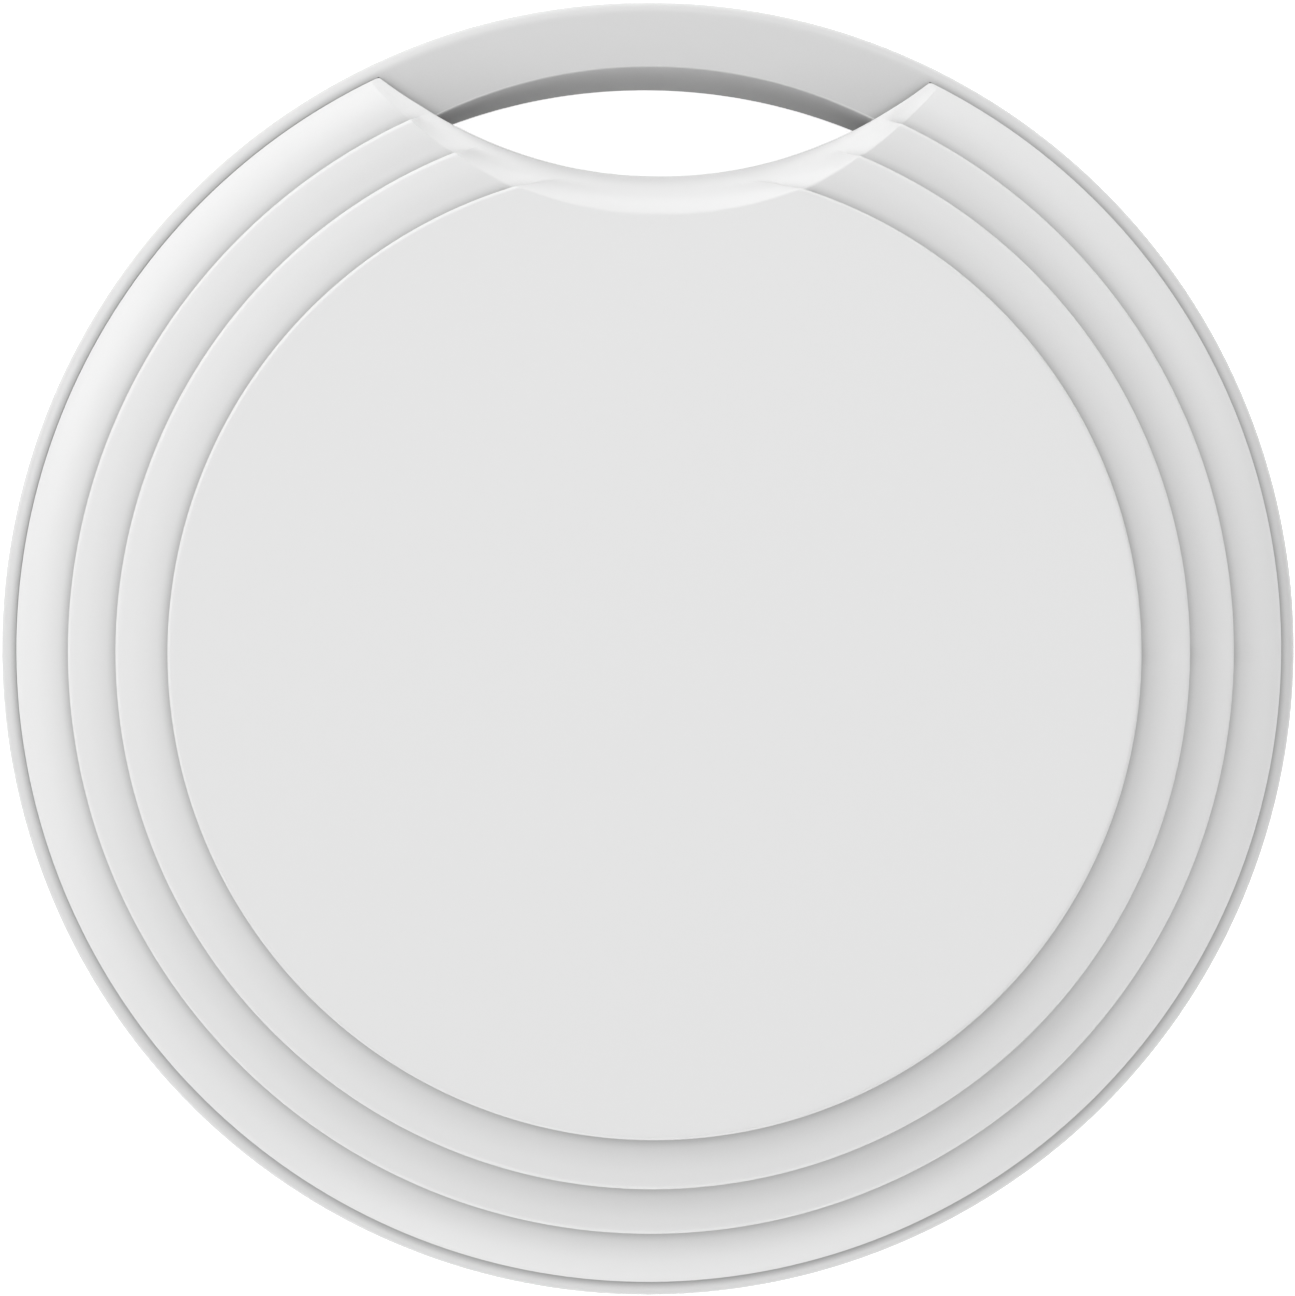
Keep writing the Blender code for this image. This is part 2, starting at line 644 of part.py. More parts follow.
def build_board():
    board = add_part(
        "main_board",
        prism_mesh("main_board", [moon(BOARD_EDGE_GAP)], board_bottom, board_top),
        "board",
    )
    hole = cylinder_profile(SCREW_RADIUS + BOARD_HOLE_GAP, board_bottom - CUT_BEYOND, board_top + CUT_BEYOND)
    head_top = on_board + SCREW_HEAD_HEIGHT
    screw = [
        (0, head_top),
        (SCREW_HEAD_RADIUS, head_top),
        (SCREW_HEAD_RADIUS, on_board),
        (SCREW_RADIUS, on_board),
        (SCREW_RADIUS, board_bottom - SCREW_REACH),
        (0, board_bottom - SCREW_REACH),
    ]
    socket = cylinder_profile(SCREW_SOCKET_RADIUS, head_top - SCREW_SOCKET_DEPTH, head_top + CUT_BEYOND)
    holes = []
    for number, angle in enumerate(SCREW_ANGLES, 1):
        place = on_ring(screw_ring, angle)
        hole_name = f"cut_board_hole_{number}"
        hole_shape = turn(add_helper(hole_name, profile_mesh(hole_name, hole)), SMALL_SEGMENTS)
        hole_shape.location = place
        holes.append(hole_shape)
        name = f"board_screw_{number}"
        made = turn(add_part(name, profile_mesh(name, screw), "steel"), SMALL_SEGMENTS)
        made.location = place
        socket_name = f"cut_socket_{number}"
        socket_shape = add_helper(socket_name, profile_mesh(socket_name, socket))
        turn(socket_shape, SCREW_SOCKET_SIDES).location = place
        cut(made, socket_shape)
    cut(board, *holes)


def build_cell():
    gasket_inner = cap_radius + TOUCH
    gasket_outer = gasket_inner + GASKET_WIDTH
    mouth = gasket_outer + TOUCH
    can = [
        (0, can_top),
        (CELL_RADIUS - CELL_ROUND, can_top),
        (CELL_RADIUS, can_top - CELL_ROUND),
        (CELL_RADIUS, can_bottom + CRIMP_HEIGHT),
        (CELL_RADIUS - CRIMP_WIDTH, can_bottom),
        (mouth, can_bottom),
        (mouth, recess_top),
        (0, recess_top),
    ]
    cap_top = recess_top - TOUCH
    cap = [
        (0, cap_top),
        (cap_radius, cap_top),
        (cap_radius, cap_bottom + CAP_ROUND),
        (cap_radius - CAP_ROUND, cap_bottom),
        (0, cap_bottom),
    ]
    gasket = ring_profile(gasket_inner, gasket_outer, can_bottom, cap_top)
    pieces = (
        ("battery_can", can, False, "steel"),
        ("battery_cap", cap, False, "steel"),
        ("battery_gasket", gasket, True, "black plastic"),
    )
    for name, profile, closed, colour in pieces:
        piece = turn(add_part(name, profile_mesh(name, profile, closed), colour), CELL_SEGMENTS)
        piece.location = (0, cell_y, 0)


def build_cell_holder():
    shelf_top = can_bottom - TOUCH
    wall_top = board_top + CRADLE_HEIGHT
    shelf_inner = cradle_inner - CRADLE_SHELF
    section = [
        (cradle_inner, wall_top),
        (cradle_outer, wall_top),
        (cradle_outer, on_board),
        (shelf_inner, on_board),
        (shelf_inner, shelf_top),
        (cradle_inner, shelf_top),
    ]
    cradle = add_part("battery_cradle", profile_mesh("battery_cradle", section, closed=True), "black plastic")
    turn(cradle, CELL_SEGMENTS).location = (0, cell_y, 0)
    window_width = CONTACT_WIDTH + 2 * WINDOW_PLAY
    window_length = 2 * (cradle_outer + CUT_BEYOND)
    window_bottom = shelf_top + TOUCH
    window = add_helper("cut_windows", block_mesh("cut_windows", window_length, window_width, CRADLE_HEIGHT))
    window.location = (0, cell_y, window_bottom)
    cut(cradle, window)
    half = CONTACT_THICKNESS / 2
    foot_height = on_board + half
    stand = cradle_outer + CONTACT_SET_BACK
    side_path = [
        (stand + CONTACT_FOOT, foot_height),
        (stand, foot_height),
        (stand, board_top + CONTACT_BEND_HEIGHT),
        (CELL_RADIUS + TOUCH + half, board_top + CONTACT_TOUCH_HEIGHT),
        (CELL_RADIUS + CONTACT_TIP_OUT, board_top + CONTACT_TIP_HEIGHT),
    ]
    for name, angle in (("positive_contact_right", 0), ("positive_contact_left", math.pi)):
        contact_mesh = strip_mesh(name, side_path, CONTACT_THICKNESS, CONTACT_WIDTH)
        contact = add_part(name, contact_mesh, "sprung steel")
        contact.location = (0, cell_y, 0)
        contact.rotation_euler = (0, 0, angle)
    crest_height = cap_bottom - TOUCH - half
    under_path = [
        (-NEGATIVE_FOOT, foot_height),
        (-NEGATIVE_KNEE, foot_height),
        (-NEGATIVE_CREST, crest_height),
        (NEGATIVE_CREST, crest_height),
        (NEGATIVE_KNEE, foot_height),
    ]
    name = "negative_contact"
    under = add_part(name, strip_mesh(name, under_path, CONTACT_THICKNESS, NEGATIVE_WIDTH), "sprung steel")
    under.location = (0, cell_y, 0)


def build_switch():
    place = (0, switch_y, 0)
    base_mesh = block_mesh("switch_base", SWITCH_WIDTH, SWITCH_DEPTH, SWITCH_BASE_HEIGHT)
    base = add_part("switch_base", base_mesh, "black plastic")
    base.location = (0, switch_y, on_board)
    well = cylinder_profile(well_radius, well_bottom, switch_base_top + CUT_BEYOND)
    well_helper = turn(add_helper("cut_switch_well", profile_mesh("cut_switch_well", well)), SMALL_SEGMENTS)
    well_helper.location = place
    cut(base, well_helper)
    dome_rise = DOME_HEIGHT - DOME_THICKNESS
    sphere = (DOME_RADIUS**2 + dome_rise**2) / (2 * dome_rise)
    under = []
    for station in range(DOME_STATIONS + 1):
        radius = DOME_RADIUS * station / DOME_STATIONS
        under.append((radius, dome_bottom + dome_rise - sphere + math.sqrt(sphere**2 - radius**2)))
    over = [(radius, height + DOME_THICKNESS) for radius, height in under]
    dome = add_part("switch_dome", profile_mesh("switch_dome", over + under[::-1]), "sprung steel")
    turn(dome, SMALL_SEGMENTS).location = place
    plate_mesh = block_mesh("switch_cover", SWITCH_WIDTH, SWITCH_DEPTH, SWITCH_PLATE)
    plate = add_part("switch_cover", plate_mesh, "steel")
    plate.location = (0, switch_y, plate_under)
    opening = cylinder_profile(PLUNGER_RADIUS + WELL_GAP, plate_under - CUT_BEYOND, plate_over + CUT_BEYOND)
    opening_helper = add_helper("cut_plate_hole", profile_mesh("cut_plate_hole", opening))
    turn(opening_helper, SMALL_SEGMENTS).location = place
    cut(plate, opening_helper)
    flange_top = plate_under - TOUCH
    plunger_profile = [
        (0, plunger_top),
        (PLUNGER_RADIUS - PLUNGER_ROUND, plunger_top),
        (PLUNGER_RADIUS, plunger_top - PLUNGER_ROUND),
        (PLUNGER_RADIUS, flange_top),
        (flange_radius, flange_top),
        (flange_radius, plunger_bottom),
        (0, plunger_bottom),
    ]
    plunger = add_part("switch_plunger", profile_mesh("switch_plunger", plunger_profile), "black plastic")
    turn(plunger, SMALL_SEGMENTS).location = place


def build_board_parts():
    """Chips and small parts: most lie along the rim, and the radio chip lies square to the slot."""
    chip_mesh = block_mesh("radio_chip", RADIO_CHIP_SIDE, RADIO_CHIP_SIDE, RADIO_CHIP_HEIGHT)
    chip = add_part("radio_chip", chip_mesh, "chip")
    x, y, _ = on_ring(board_radius - RADIO_CHIP_INSET, RADIO_CHIP_ANGLE)
    chip.location = (x, y, on_board)
    antenna_size = (ANTENNA_LENGTH, ANTENNA_DEPTH, ANTENNA_HEIGHT)
    antenna_inset = ANTENNA_EDGE_SPACE + ANTENNA_DEPTH / 2
    place_along_rim("chip_antenna", antenna_size, antenna_inset, ANTENNA_ANGLE, "pale ceramic")
    main_crystal = (MAIN_CRYSTAL_LENGTH, MAIN_CRYSTAL_DEPTH, MAIN_CRYSTAL_HEIGHT)
    clock_crystal = (CLOCK_CRYSTAL_LENGTH, CLOCK_CRYSTAL_DEPTH, CLOCK_CRYSTAL_HEIGHT)
    inductor = (INDUCTOR_LENGTH, INDUCTOR_DEPTH, INDUCTOR_HEIGHT)
    driver = (DRIVER_LENGTH, DRIVER_DEPTH, DRIVER_HEIGHT)
    sensor = (SENSOR_SIDE, SENSOR_SIDE, SENSOR_HEIGHT)
    capacitor = (SMALL_PART_LENGTH, SMALL_PART_DEPTH, CAPACITOR_HEIGHT)
    resistor = (SMALL_PART_LENGTH, SMALL_PART_DEPTH, RESISTOR_HEIGHT)
    at_edge = (
        ("main_crystal", main_crystal, 155, "steel"),
        ("clock_crystal", clock_crystal, 207, "steel"),
        ("boost_inductor", inductor, 330, "chip"),
        ("driver_chip", driver, 305, "chip"),
        ("motion_sensor", sensor, 235, "chip"),
        ("capacitor_1", capacitor, 24, "brown ceramic"),
        ("capacitor_3", capacitor, 345, "brown ceramic"),
        ("resistor_1", resistor, 31, "chip"),
        ("resistor_3", resistor, 190, "chip"),
        ("resistor_4", resistor, 250, "chip"),
    )
    for name, size, degrees, colour in at_edge:
        place_along_rim(name, size, PART_EDGE_SPACE + size[1] / 2, math.radians(degrees), colour)
    further_in = (
        ("capacitor_2", capacitor, HORN_INSET, 62, "brown ceramic"),
        ("capacitor_4", capacitor, SWITCH_SIDE_INSET, 112, "brown ceramic"),
        ("resistor_2", resistor, SWITCH_SIDE_INSET, 68, "chip"),
    )
    for name, size, inset, degrees, colour in further_in:
        place_along_rim(name, size, inset, math.radians(degrees), colour)


def place_along_rim(name, size, inset, angle, colour):
    """A block on the board with its length along the rim and its middle inset from the board's edge."""
    part = add_part(name, block_mesh(name, *size), colour)
    x, y, _ = on_ring(board_radius - inset, angle)
    part.location = (x, y, on_board)
    part.rotation_euler = (0, 0, angle - math.pi / 2)


def build_foam_pad():
    pad = cylinder_profile(PAD_RADIUS, pad_bottom, pad_bottom + PAD_THICKNESS)
    made = turn(add_part("foam_pad", profile_mesh("foam_pad", pad), "foam"), CELL_SEGMENTS)
    made.location = (0, cell_y, 0)


clear_scene()
parts = new_collection("tracker tag")
helpers = new_collection("cutters")
materials = make_materials()
build_rear_cover()
build_seal()
build_sounder()
build_board()
build_cell()
build_cell_holder()
build_switch()
build_board_parts()
build_front_cover()
build_foam_pad()
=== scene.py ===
"""Looks of a round wireless tracker tag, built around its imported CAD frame.

The tag lies on its back: +Z is its face, +Y is the keyring slot, and the origin is the centre of its back.
Shapes are worked out in millimetres and turned into metres when a piece is finished.
"""

import math

import bmesh
import bpy
from mathutils import Matrix, Vector
from mathutils.geometry import delaunay_2d_cdt


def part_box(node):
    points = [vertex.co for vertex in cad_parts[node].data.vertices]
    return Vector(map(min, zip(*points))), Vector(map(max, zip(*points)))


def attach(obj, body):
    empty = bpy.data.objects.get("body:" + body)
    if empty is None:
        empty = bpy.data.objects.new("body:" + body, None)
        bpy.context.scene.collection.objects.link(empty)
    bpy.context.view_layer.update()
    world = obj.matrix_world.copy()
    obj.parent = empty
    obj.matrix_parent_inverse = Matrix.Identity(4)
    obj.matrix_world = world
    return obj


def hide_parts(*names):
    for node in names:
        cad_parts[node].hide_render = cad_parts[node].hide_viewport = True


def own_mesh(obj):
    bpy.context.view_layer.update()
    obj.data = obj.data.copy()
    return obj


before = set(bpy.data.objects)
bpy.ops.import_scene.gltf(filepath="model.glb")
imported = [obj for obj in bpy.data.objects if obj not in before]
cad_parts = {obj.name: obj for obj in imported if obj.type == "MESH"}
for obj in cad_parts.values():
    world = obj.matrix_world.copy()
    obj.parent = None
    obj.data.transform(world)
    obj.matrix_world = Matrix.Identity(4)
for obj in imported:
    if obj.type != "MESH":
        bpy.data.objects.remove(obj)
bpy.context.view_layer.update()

MM = 0.001


def node_box(node):
    """Lowest and highest corner of a CAD node, in millimetres."""
    low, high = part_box(node)
    return low / MM, high / MM


def middle_of(node):
    """Middle of a CAD node in plan, in millimetres."""
    low, high = node_box(node)
    return ((low.x + high.x) / 2, (low.y + high.y) / 2)


def half_width(node):
    """Half of a CAD node's length along X, in millimetres."""
    low, high = node_box(node)
    return (high.x - low.x) / 2


def on_ring(radius, angle):
    """A point at some distance and angle from the tag's centre."""
    return (radius * math.cos(angle), radius * math.sin(angle))


rear_high = node_box("rear_cover")[1]
front_low, front_high = node_box("front_cover")
board_low, board_high = node_box("main_board")
cell_low, cell_high = node_box("battery_can")
switch_low, switch_high = node_box("switch_base")

# Body
body_radius = rear_high.x
parting = rear_high.z
REAR_WALL = 1.9
REAR_FLOOR = 1.0
BACK_ROUND = 1.2
RIM_ROUND = 0.46
SLOT_HEIGHT = 3.579
BITE_RADIUS = 13.3
CAVITY_DROP = 5.15
CAVITY_BITE = 15.25
SLOT_DRAFT = 0.08
SLOT_EDGE_ROUND = 0.3
SLOT_FRONT_ROUND = 0.06
BAIL_INSET = 0.16
BAIL_ARC = 15.2
SLOT_SEAM_ROUND = 0.1
CAVITY_CORNER = 1.3
SMALLEST_CORNER = 0.2
FLOOR_ROUND = 0.3
inner_radius = body_radius - REAR_WALL
bite_y = inner_radius - SLOT_HEIGHT + BITE_RADIUS
cavity_y = inner_radius - CAVITY_DROP + CAVITY_BITE

# Front cover, from its centre disc to its edge
face = front_high.z
EDGE_INSET = 0.246
front_radius = front_high.x - EDGE_INSET
skirt_bottom = front_low.z
SEAM = 0.05
SEAM_REVEAL = 0.04
SEAM_UNDERCUT = 0.1
SEAM_DEPTH = 0.1
SHOULDER_WIDTH = 1.729
SHOULDER_RISE = 0.65
SHOULDER_SLOPE = math.radians(8)
SHOULDER_FULLNESS = 0.95
SHOULDER_ROWS = (0.1, 0.3, 0.5, 0.65, 0.78, 0.87, 0.94, 0.98)
FIRST_STEP = 0.55
OUTER_RING_WIDTH = 1.56
OUTER_RING_RISE = 0.27
SECOND_STEP = 0.69
INNER_RING_WIDTH = 1.649
INNER_RING_RISE = 0.28
THIRD_STEP = 0.58
STEP_ROUND = 0.13
STEP_DRAFT = 0.04
TIP_ROUND = 0.14
FRONT_WALL = 1.1
SIDE_WALL = 0.9
SKIRT_GAP = 0.15
SKIRT_WALL = 0.85
SKIRT_ROUND = 0.15
HOLLOW_DRAFT = 0.05
POST_RADIUS = 0.8
POST_GAP = 0.1
outer_ring_radius = front_radius - SHOULDER_WIDTH
inner_ring_radius = outer_ring_radius - OUTER_RING_WIDTH
disc_radius = inner_ring_radius - INNER_RING_WIDTH
inner_ring_edge = face - THIRD_STEP - INNER_RING_RISE
outer_ring_edge = inner_ring_edge - SECOND_STEP - OUTER_RING_RISE
shoulder_top = outer_ring_edge - FIRST_STEP
front_bottom = parting + SEAM
ceiling = face - FRONT_WALL

# Band along the slot: its width at some distances from the tag's centre
BAND_WIDTHS = ((12.98, 1.487), (14.6, 1.269), (16.24, 0.892), (17.77, 0.585), (19.53, 0.268))
BAND_BASE = 0.6
BAND_LIP = 0.12
BAND_FULLNESS = 0.4
BAND_CREASE = 0.03
BAND_FADE = 0.5
BAND_ROUNDS = 12
BAND_ROWS = (0.006, 0.03, 0.07, 0.14, 0.25, 0.4, 0.55, 0.7, 0.85, 1.0, 1.15, 1.28, 1.38)
band_base = parting + BAND_BASE

# Seal
SEAL_INNER_WALL = 0.5
SEAL_GROOVE_WIDTH = 0.72
SEAL_GROOVE_DEPTH = 0.6
SEAL_WIDTH = 0.6
SEAL_ROUND = 0.2

# Board
BOARD_EDGE_GAP = 0.6
BOARD_CHAMFER = 0.05
SCREW_INSET = 2.1
SCREW_ANGLES = (math.radians(8), math.radians(172), math.radians(270))
BOARD_HOLE_RADIUS = 0.75
BOSS_RADIUS = 1.55
PILOT_RADIUS = 0.6
PILOT_DEPTH = 1.15
TOUCH = 0.05
board_bottom = board_low.z
board_top = board_high.z
screw_ring = inner_radius - BOARD_EDGE_GAP - SCREW_INSET
screw_places = [on_ring(screw_ring, angle) for angle in SCREW_ANGLES]

# Places on the tag
cell_centre = middle_of("battery_can")
cell_radius = half_width("battery_can")
sounder_centre = middle_of("piezo_plate")
sounder_radius = half_width("piezo_plate")
switch_centre = middle_of("switch_base")
SOUNDER_SEAT = 0.3
SOUNDER_SEAT_WIDTH = 1.2
seat_inner = sounder_radius - SOUNDER_SEAT_WIDTH

# Foam pad
FOAM_ROUND = 0.1

# Sounder
SHEET_ROUND = 0.03
SILVERING = 0.02
SILVER_INSET = 0.4

# Copper on the board
LAND_GAP = 0.08
LAND_RADIUS = 1.45
LAND_HEIGHT = 0.015
LAND_ROUND = 0.008
PAD_LENGTH = 0.35
PAD_MARGIN = 0.3
TRACK_HEIGHT = 0.008
TRACK_WIDTH = 0.16
TRACK_RINGS = (16.95, 17.12, 17.29)
TRACK_START = math.radians(140)
TRACK_END = math.radians(400)
TRACK_STEPS = 120
TRACK_PATHS = (
    ((-6.0, 9.3), (-4.6, 9.3), (-4.2, 9.0), (-2.1, 9.0)),
    ((-6.0, 9.8), (-2.1, 9.8)),
    ((-6.0, 11.6), (-3.0, 11.95), (3.0, 11.95), (6.6, 12.4)),
    ((2.1, 9.2), (4.0, 9.2), (5.6, 10.6), (6.0, 11.4)),
    ((-10.9, 7.6), (-11.6, 7.0), (-12.4, 6.8)),
)
VIA_RING = 16.5
VIA_COUNT = 40
VIA_HOLE = 0.08
VIA_RADIUS = 0.17
VIA_SEGMENTS = 16
VIA_MARGIN = 1.0
VIA_CLEAR_OF_SCREW = 1.8

# Screws
THREAD_RADIUS = 0.5
THREAD_DEPTH = 0.07
THREAD_PITCH = 0.25
HEAD_EDGE = 0.04
HEAD_ROUND = 0.16
SOCKET_RADIUS = 0.5
SOCKET_SIDES = 6
SOCKET_DEPTH = 0.25

# Coin cell and its cradle
CAN_ROUND = 0.25
CAN_BEAD = 1.1
CAN_BEAD_WIDTH = 0.24
CAN_BEAD_DEPTH = 0.05
CRIMP_WIDTH = 0.5
CRIMP_HEIGHT = 0.4
CRIMP_EDGE = 0.06
CAP_ROUND = 0.2
CRADLE_WALL = 1.0
CRADLE_SHELF = 0.85
CRADLE_WINDOW = 3.8
CRADLE_ROUND = 0.12
cradle_low, cradle_high = node_box("battery_cradle")
cradle_outer = half_width("battery_cradle")
cradle_inner = cradle_outer - CRADLE_WALL

# Sprung contacts
STRIP_BEND = 0.45
STRIP_EDGE = 0.02
CONTACT_THICKNESS = 0.15
CONTACT_WIDTH = 3.0
CONTACT_SET_BACK = 0.35
CONTACT_FOOT = 1.6
CONTACT_BEND_HEIGHT = 1.5
CONTACT_TOUCH_HEIGHT = 2.0
CONTACT_TIP_HEIGHT = 2.7
CONTACT_TIP_OUT = 0.6
NEGATIVE_WIDTH = 4.0
NEGATIVE_FOOT = 6.0
NEGATIVE_KNEE = 3.5
NEGATIVE_CREST = 1.2
LEAF_THICKNESS = 0.12
LEAF_WIDTH = 1.0
LEAF_REACH = 1.4
LEAF_FOOT = 1.2
LEAF_TAIL = 0.5
# Leaf name, angle and ring about the sounder's middle, and the node that it touches
SOUNDER_LEAVES = (
    ("center", 0.0, 0.0, "piezo_ceramic"),
    ("edge", math.radians(135), 8.5, "piezo_plate"),
)

# Push switch
SWITCH_CORNER = 0.25
SWITCH_EDGE = 0.05
SWITCH_FLOOR = 0.4
WELL_RADIUS = 1.27
PLATE_HOLE = 0.92
TERMINAL_DEPTH = 0.12
TERMINAL_WIDTH = 0.7
TERMINAL_HEIGHT = 0.55
TERMINAL_PROUD = 0.02
TERMINAL_SHARE = 0.25
PLUNGER_RADIUS = 0.8
PLUNGER_ROUND = 0.12
PLUNGER_EDGE = 0.04
DOME_THICKNESS = 0.08
DOME_STATIONS = 8

# Parts on the board: length, depth and height
PART_SIZES = {
    "radio_chip": (5.0, 5.0, 0.85),
    "chip_antenna": (5.0, 1.6, 0.8),
    "main_crystal": (2.5, 2.0, 0.6),
    "clock_crystal": (3.2, 1.5, 0.75),
    "boost_inductor": (2.5, 2.0, 1.2),
    "driver_chip": (2.9, 1.6, 1.0),
    "motion_sensor": (2.0, 2.0, 0.9),
    "capacitor": (1.0, 0.5, 0.5),
    "resistor": (1.0, 0.5, 0.35),
}
SMALL_PARTS = 4
SQUARE_TO_AXES = ("radio_chip",)
TWO_ENDED = ("chip_antenna", "main_crystal", "clock_crystal", "boost_inductor", "capacitor", "resistor")
CHIP_EDGE = 0.04
CHIP_LEADS = 8
LEAD_PITCH = 0.5
LEAD_WIDTH = 0.25
LEAD_LENGTH = 0.4
LEAD_HEIGHT = 0.2
LEAD_PROUD = 0.02
MARK_INSET = 0.7
MARK_RADIUS = 0.25
MARK_HEIGHT = 0.02
SENSOR_MARK = 0.5
PLATING = 0.03
END_CAP = 0.4
ZIGZAG_BARS = 6
ZIGZAG_WIDTH = 0.18
ZIGZAG_REACH = 0.7
TRAY_SHARE = 0.55
LID_INSET = 0.12
LID_SINK = 0.03
LID_ROUND = 0.08
FERRITE_EDGE = 0.15
FERRITE_CAP = 0.8
LEG_REACH = 0.22
LEG_STAND = 0.1
LEG_PITCH = 0.95
LEG_WIDTH = 0.35
LEG_THICKNESS = 0.12
CARRIER_HEIGHT = 0.2
SMALL_END = 0.24
SMALL_PROUD = 0.015
SMALL_EDGE = 0.03

# Finishes: colour, roughness, metallic, grain size and depth in millimetres, changes of tint and gloss
FINISHES = {
    "front_white": ((0.80, 0.80, 0.80), 0.32, 0.0, 0.08, 0.002, 0.002, 0.02),
    # Painted shade: the rear cover is the front cover's white plastic, made darker to stand in for shade
    "rear_white_painted_shade": ((0.685, 0.685, 0.685), 0.32, 0.0, 0.08, 0.002, 0.002, 0.02),
    # Painted light: the slot's wall is the rear cover's plastic, made lighter than its face to stand in
    # for light
    "slot_white_painted_light": ((0.78, 0.78, 0.78), 0.62, 0.0, 0.08, 0.004, 0.006, 0.03),
    "silicone": ((0.27, 0.28, 0.29), 0.60, 0.0, 0.15, 0.006, 0.06, 0.06),
    "foam": ((0.045, 0.045, 0.05), 0.92, 0.0, 0.25, 0.10, 0.35, 0.03),
    "bonding_tape": ((0.66, 0.60, 0.42), 0.50, 0.0, 0.20, 0.004, 0.06, 0.08),
    "brass": ((0.72, 0.51, 0.21), 0.32, 1.0, 0.12, 0.001, 0.06, 0.08),
    "piezo_white": ((0.70, 0.68, 0.61), 0.70, 0.0, 0.06, 0.003, 0.05, 0.04),
    "silver": ((0.78, 0.77, 0.74), 0.46, 1.0, 0.10, 0.003, 0.04, 0.08),
    "solder_mask": ((0.010, 0.070, 0.034), 0.36, 0.0, 0.35, 0.003, 0.14, 0.05),
    "masked_copper": ((0.022, 0.125, 0.055), 0.34, 0.0, 0.30, 0.002, 0.10, 0.05),
    "gold": ((0.83, 0.60, 0.25), 0.34, 1.0, 0.10, 0.001, 0.05, 0.08),
    "zinc": ((0.56, 0.57, 0.59), 0.36, 1.0, 0.08, 0.002, 0.06, 0.08),
    "cell_steel": ((0.58, 0.58, 0.57), 0.25, 1.0, 0.10, 0.001, 0.03, 0.03),
    "lid_steel": ((0.70, 0.69, 0.66), 0.32, 1.0, 0.06, 0.001, 0.04, 0.08),
    "black_plastic": ((0.024, 0.024, 0.026), 0.50, 0.0, 0.10, 0.004, 0.15, 0.06),
    "nickel": ((0.70, 0.67, 0.61), 0.34, 1.0, 0.08, 0.001, 0.05, 0.08),
    "epoxy": ((0.030, 0.030, 0.033), 0.62, 0.0, 0.05, 0.004, 0.15, 0.06),
    "marking": ((0.34, 0.34, 0.35), 0.70, 0.0, 0.05, 0.002, 0.08, 0.05),
    "tin": ((0.74, 0.74, 0.73), 0.38, 1.0, 0.08, 0.003, 0.05, 0.10),
    "pale_ceramic": ((0.70, 0.71, 0.74), 0.55, 0.0, 0.05, 0.002, 0.05, 0.06),
    "ferrite": ((0.090, 0.090, 0.098), 0.60, 0.0, 0.08, 0.008, 0.15, 0.06),
    "brown_ceramic": ((0.30, 0.19, 0.105), 0.48, 0.0, 0.05, 0.002, 0.10, 0.06),
}
GRAIN_DETAIL = 3.0
# Painted shade in creases, darkening the base colour by ambient occlusion: reach in millimetres and depth
PAINTED_CREASE_SHADE = {
    "front_white": ((1.2, 0.55), (0.35, 0.75)),
    "rear_white_painted_shade": ((3.0, 0.65), (0.35, 0.4)),
    "slot_white_painted_light": ((4.0, 0.3),),
}
PAINTED_SHADE_SAMPLES = 8
SLOW_SIZE = 6.0
TURNED_SPACING = 0.12
TURNED_DEPTH = 0.003
TURNED_WAVER = 2.0
WAVE_FACTOR = 20.0

# Stage, with lamp powers in watts
FLOOR_SIZE = 3000.0
FLOOR_DROP = 0.02
FLOOR_GLOW = 0.85
FLOOR_COLOUR = (0.85, 0.85, 0.85, 1.0)
WHITE = (1.0, 1.0, 1.0, 1.0)
FLOOR_ROUGHNESS = 0.9
WORLD_STRENGTH = 0.068
LAMP_DISTANCE = 450.0
LAMP_SIZE = 450.0
# Lamps: name, degrees around from +X, degrees above the floor, power
LAMPS = (
    ("right", 0.0, 42.0, 0.130),
    ("upper_right", 45.0, 27.0, 0.530),
    ("upper", 90.0, 25.0, 0.455),
    ("upper_left", 135.0, 31.5, 0.955),
    ("left", 180.0, 29.5, 0.500),
    ("lower_left", 225.0, 14.0, 0.16),
    ("lower", 270.0, 20.0, 0.90),
    ("lower_right", 315.0, 20.0, 0.375),
    ("overhead", 0.0, 90.0, 0.400),
)

# Smoothness
RIM_SEGMENTS = 240
CORNER_SEGMENTS = 10
SLOT_SEGMENTS = 96
CELL_SEGMENTS = 128
SMALL_SEGMENTS = 48
ROUND_STEPS = 6
BEVEL_STEPS = 2
SOFT_BEVEL_STEPS = 3
BEVEL_PROFILE = 0.5
SHARP_ANGLE = math.radians(38)
MERGE_DISTANCE = 1e-4

# Camera, measured from the middle of the parting plane, for an image of 1295 x 1296 pixels
CAMERA_PLACE = (-3.52, 2.30, 92.85)
CAMERA_LENS = 83.83
CAMERA_SHIFT = (-0.00464, 0.00335)
CAMERA_ROLL = -0.00304
NEAREST_SEEN = 1.0
aim = Vector((0, 0, parting * MM))


def arc(centre, radius, start, end, steps):
    """Points along an arc, both ends included."""
    angles = [start + (end - start) * i / steps for i in range(steps + 1)]
    return [(centre[0] + radius * math.cos(a), centre[1] + radius * math.sin(a)) for a in angles]


def circle(centre, radius, segments):
    return arc(centre, radius, 0, math.tau, segments)[:-1]


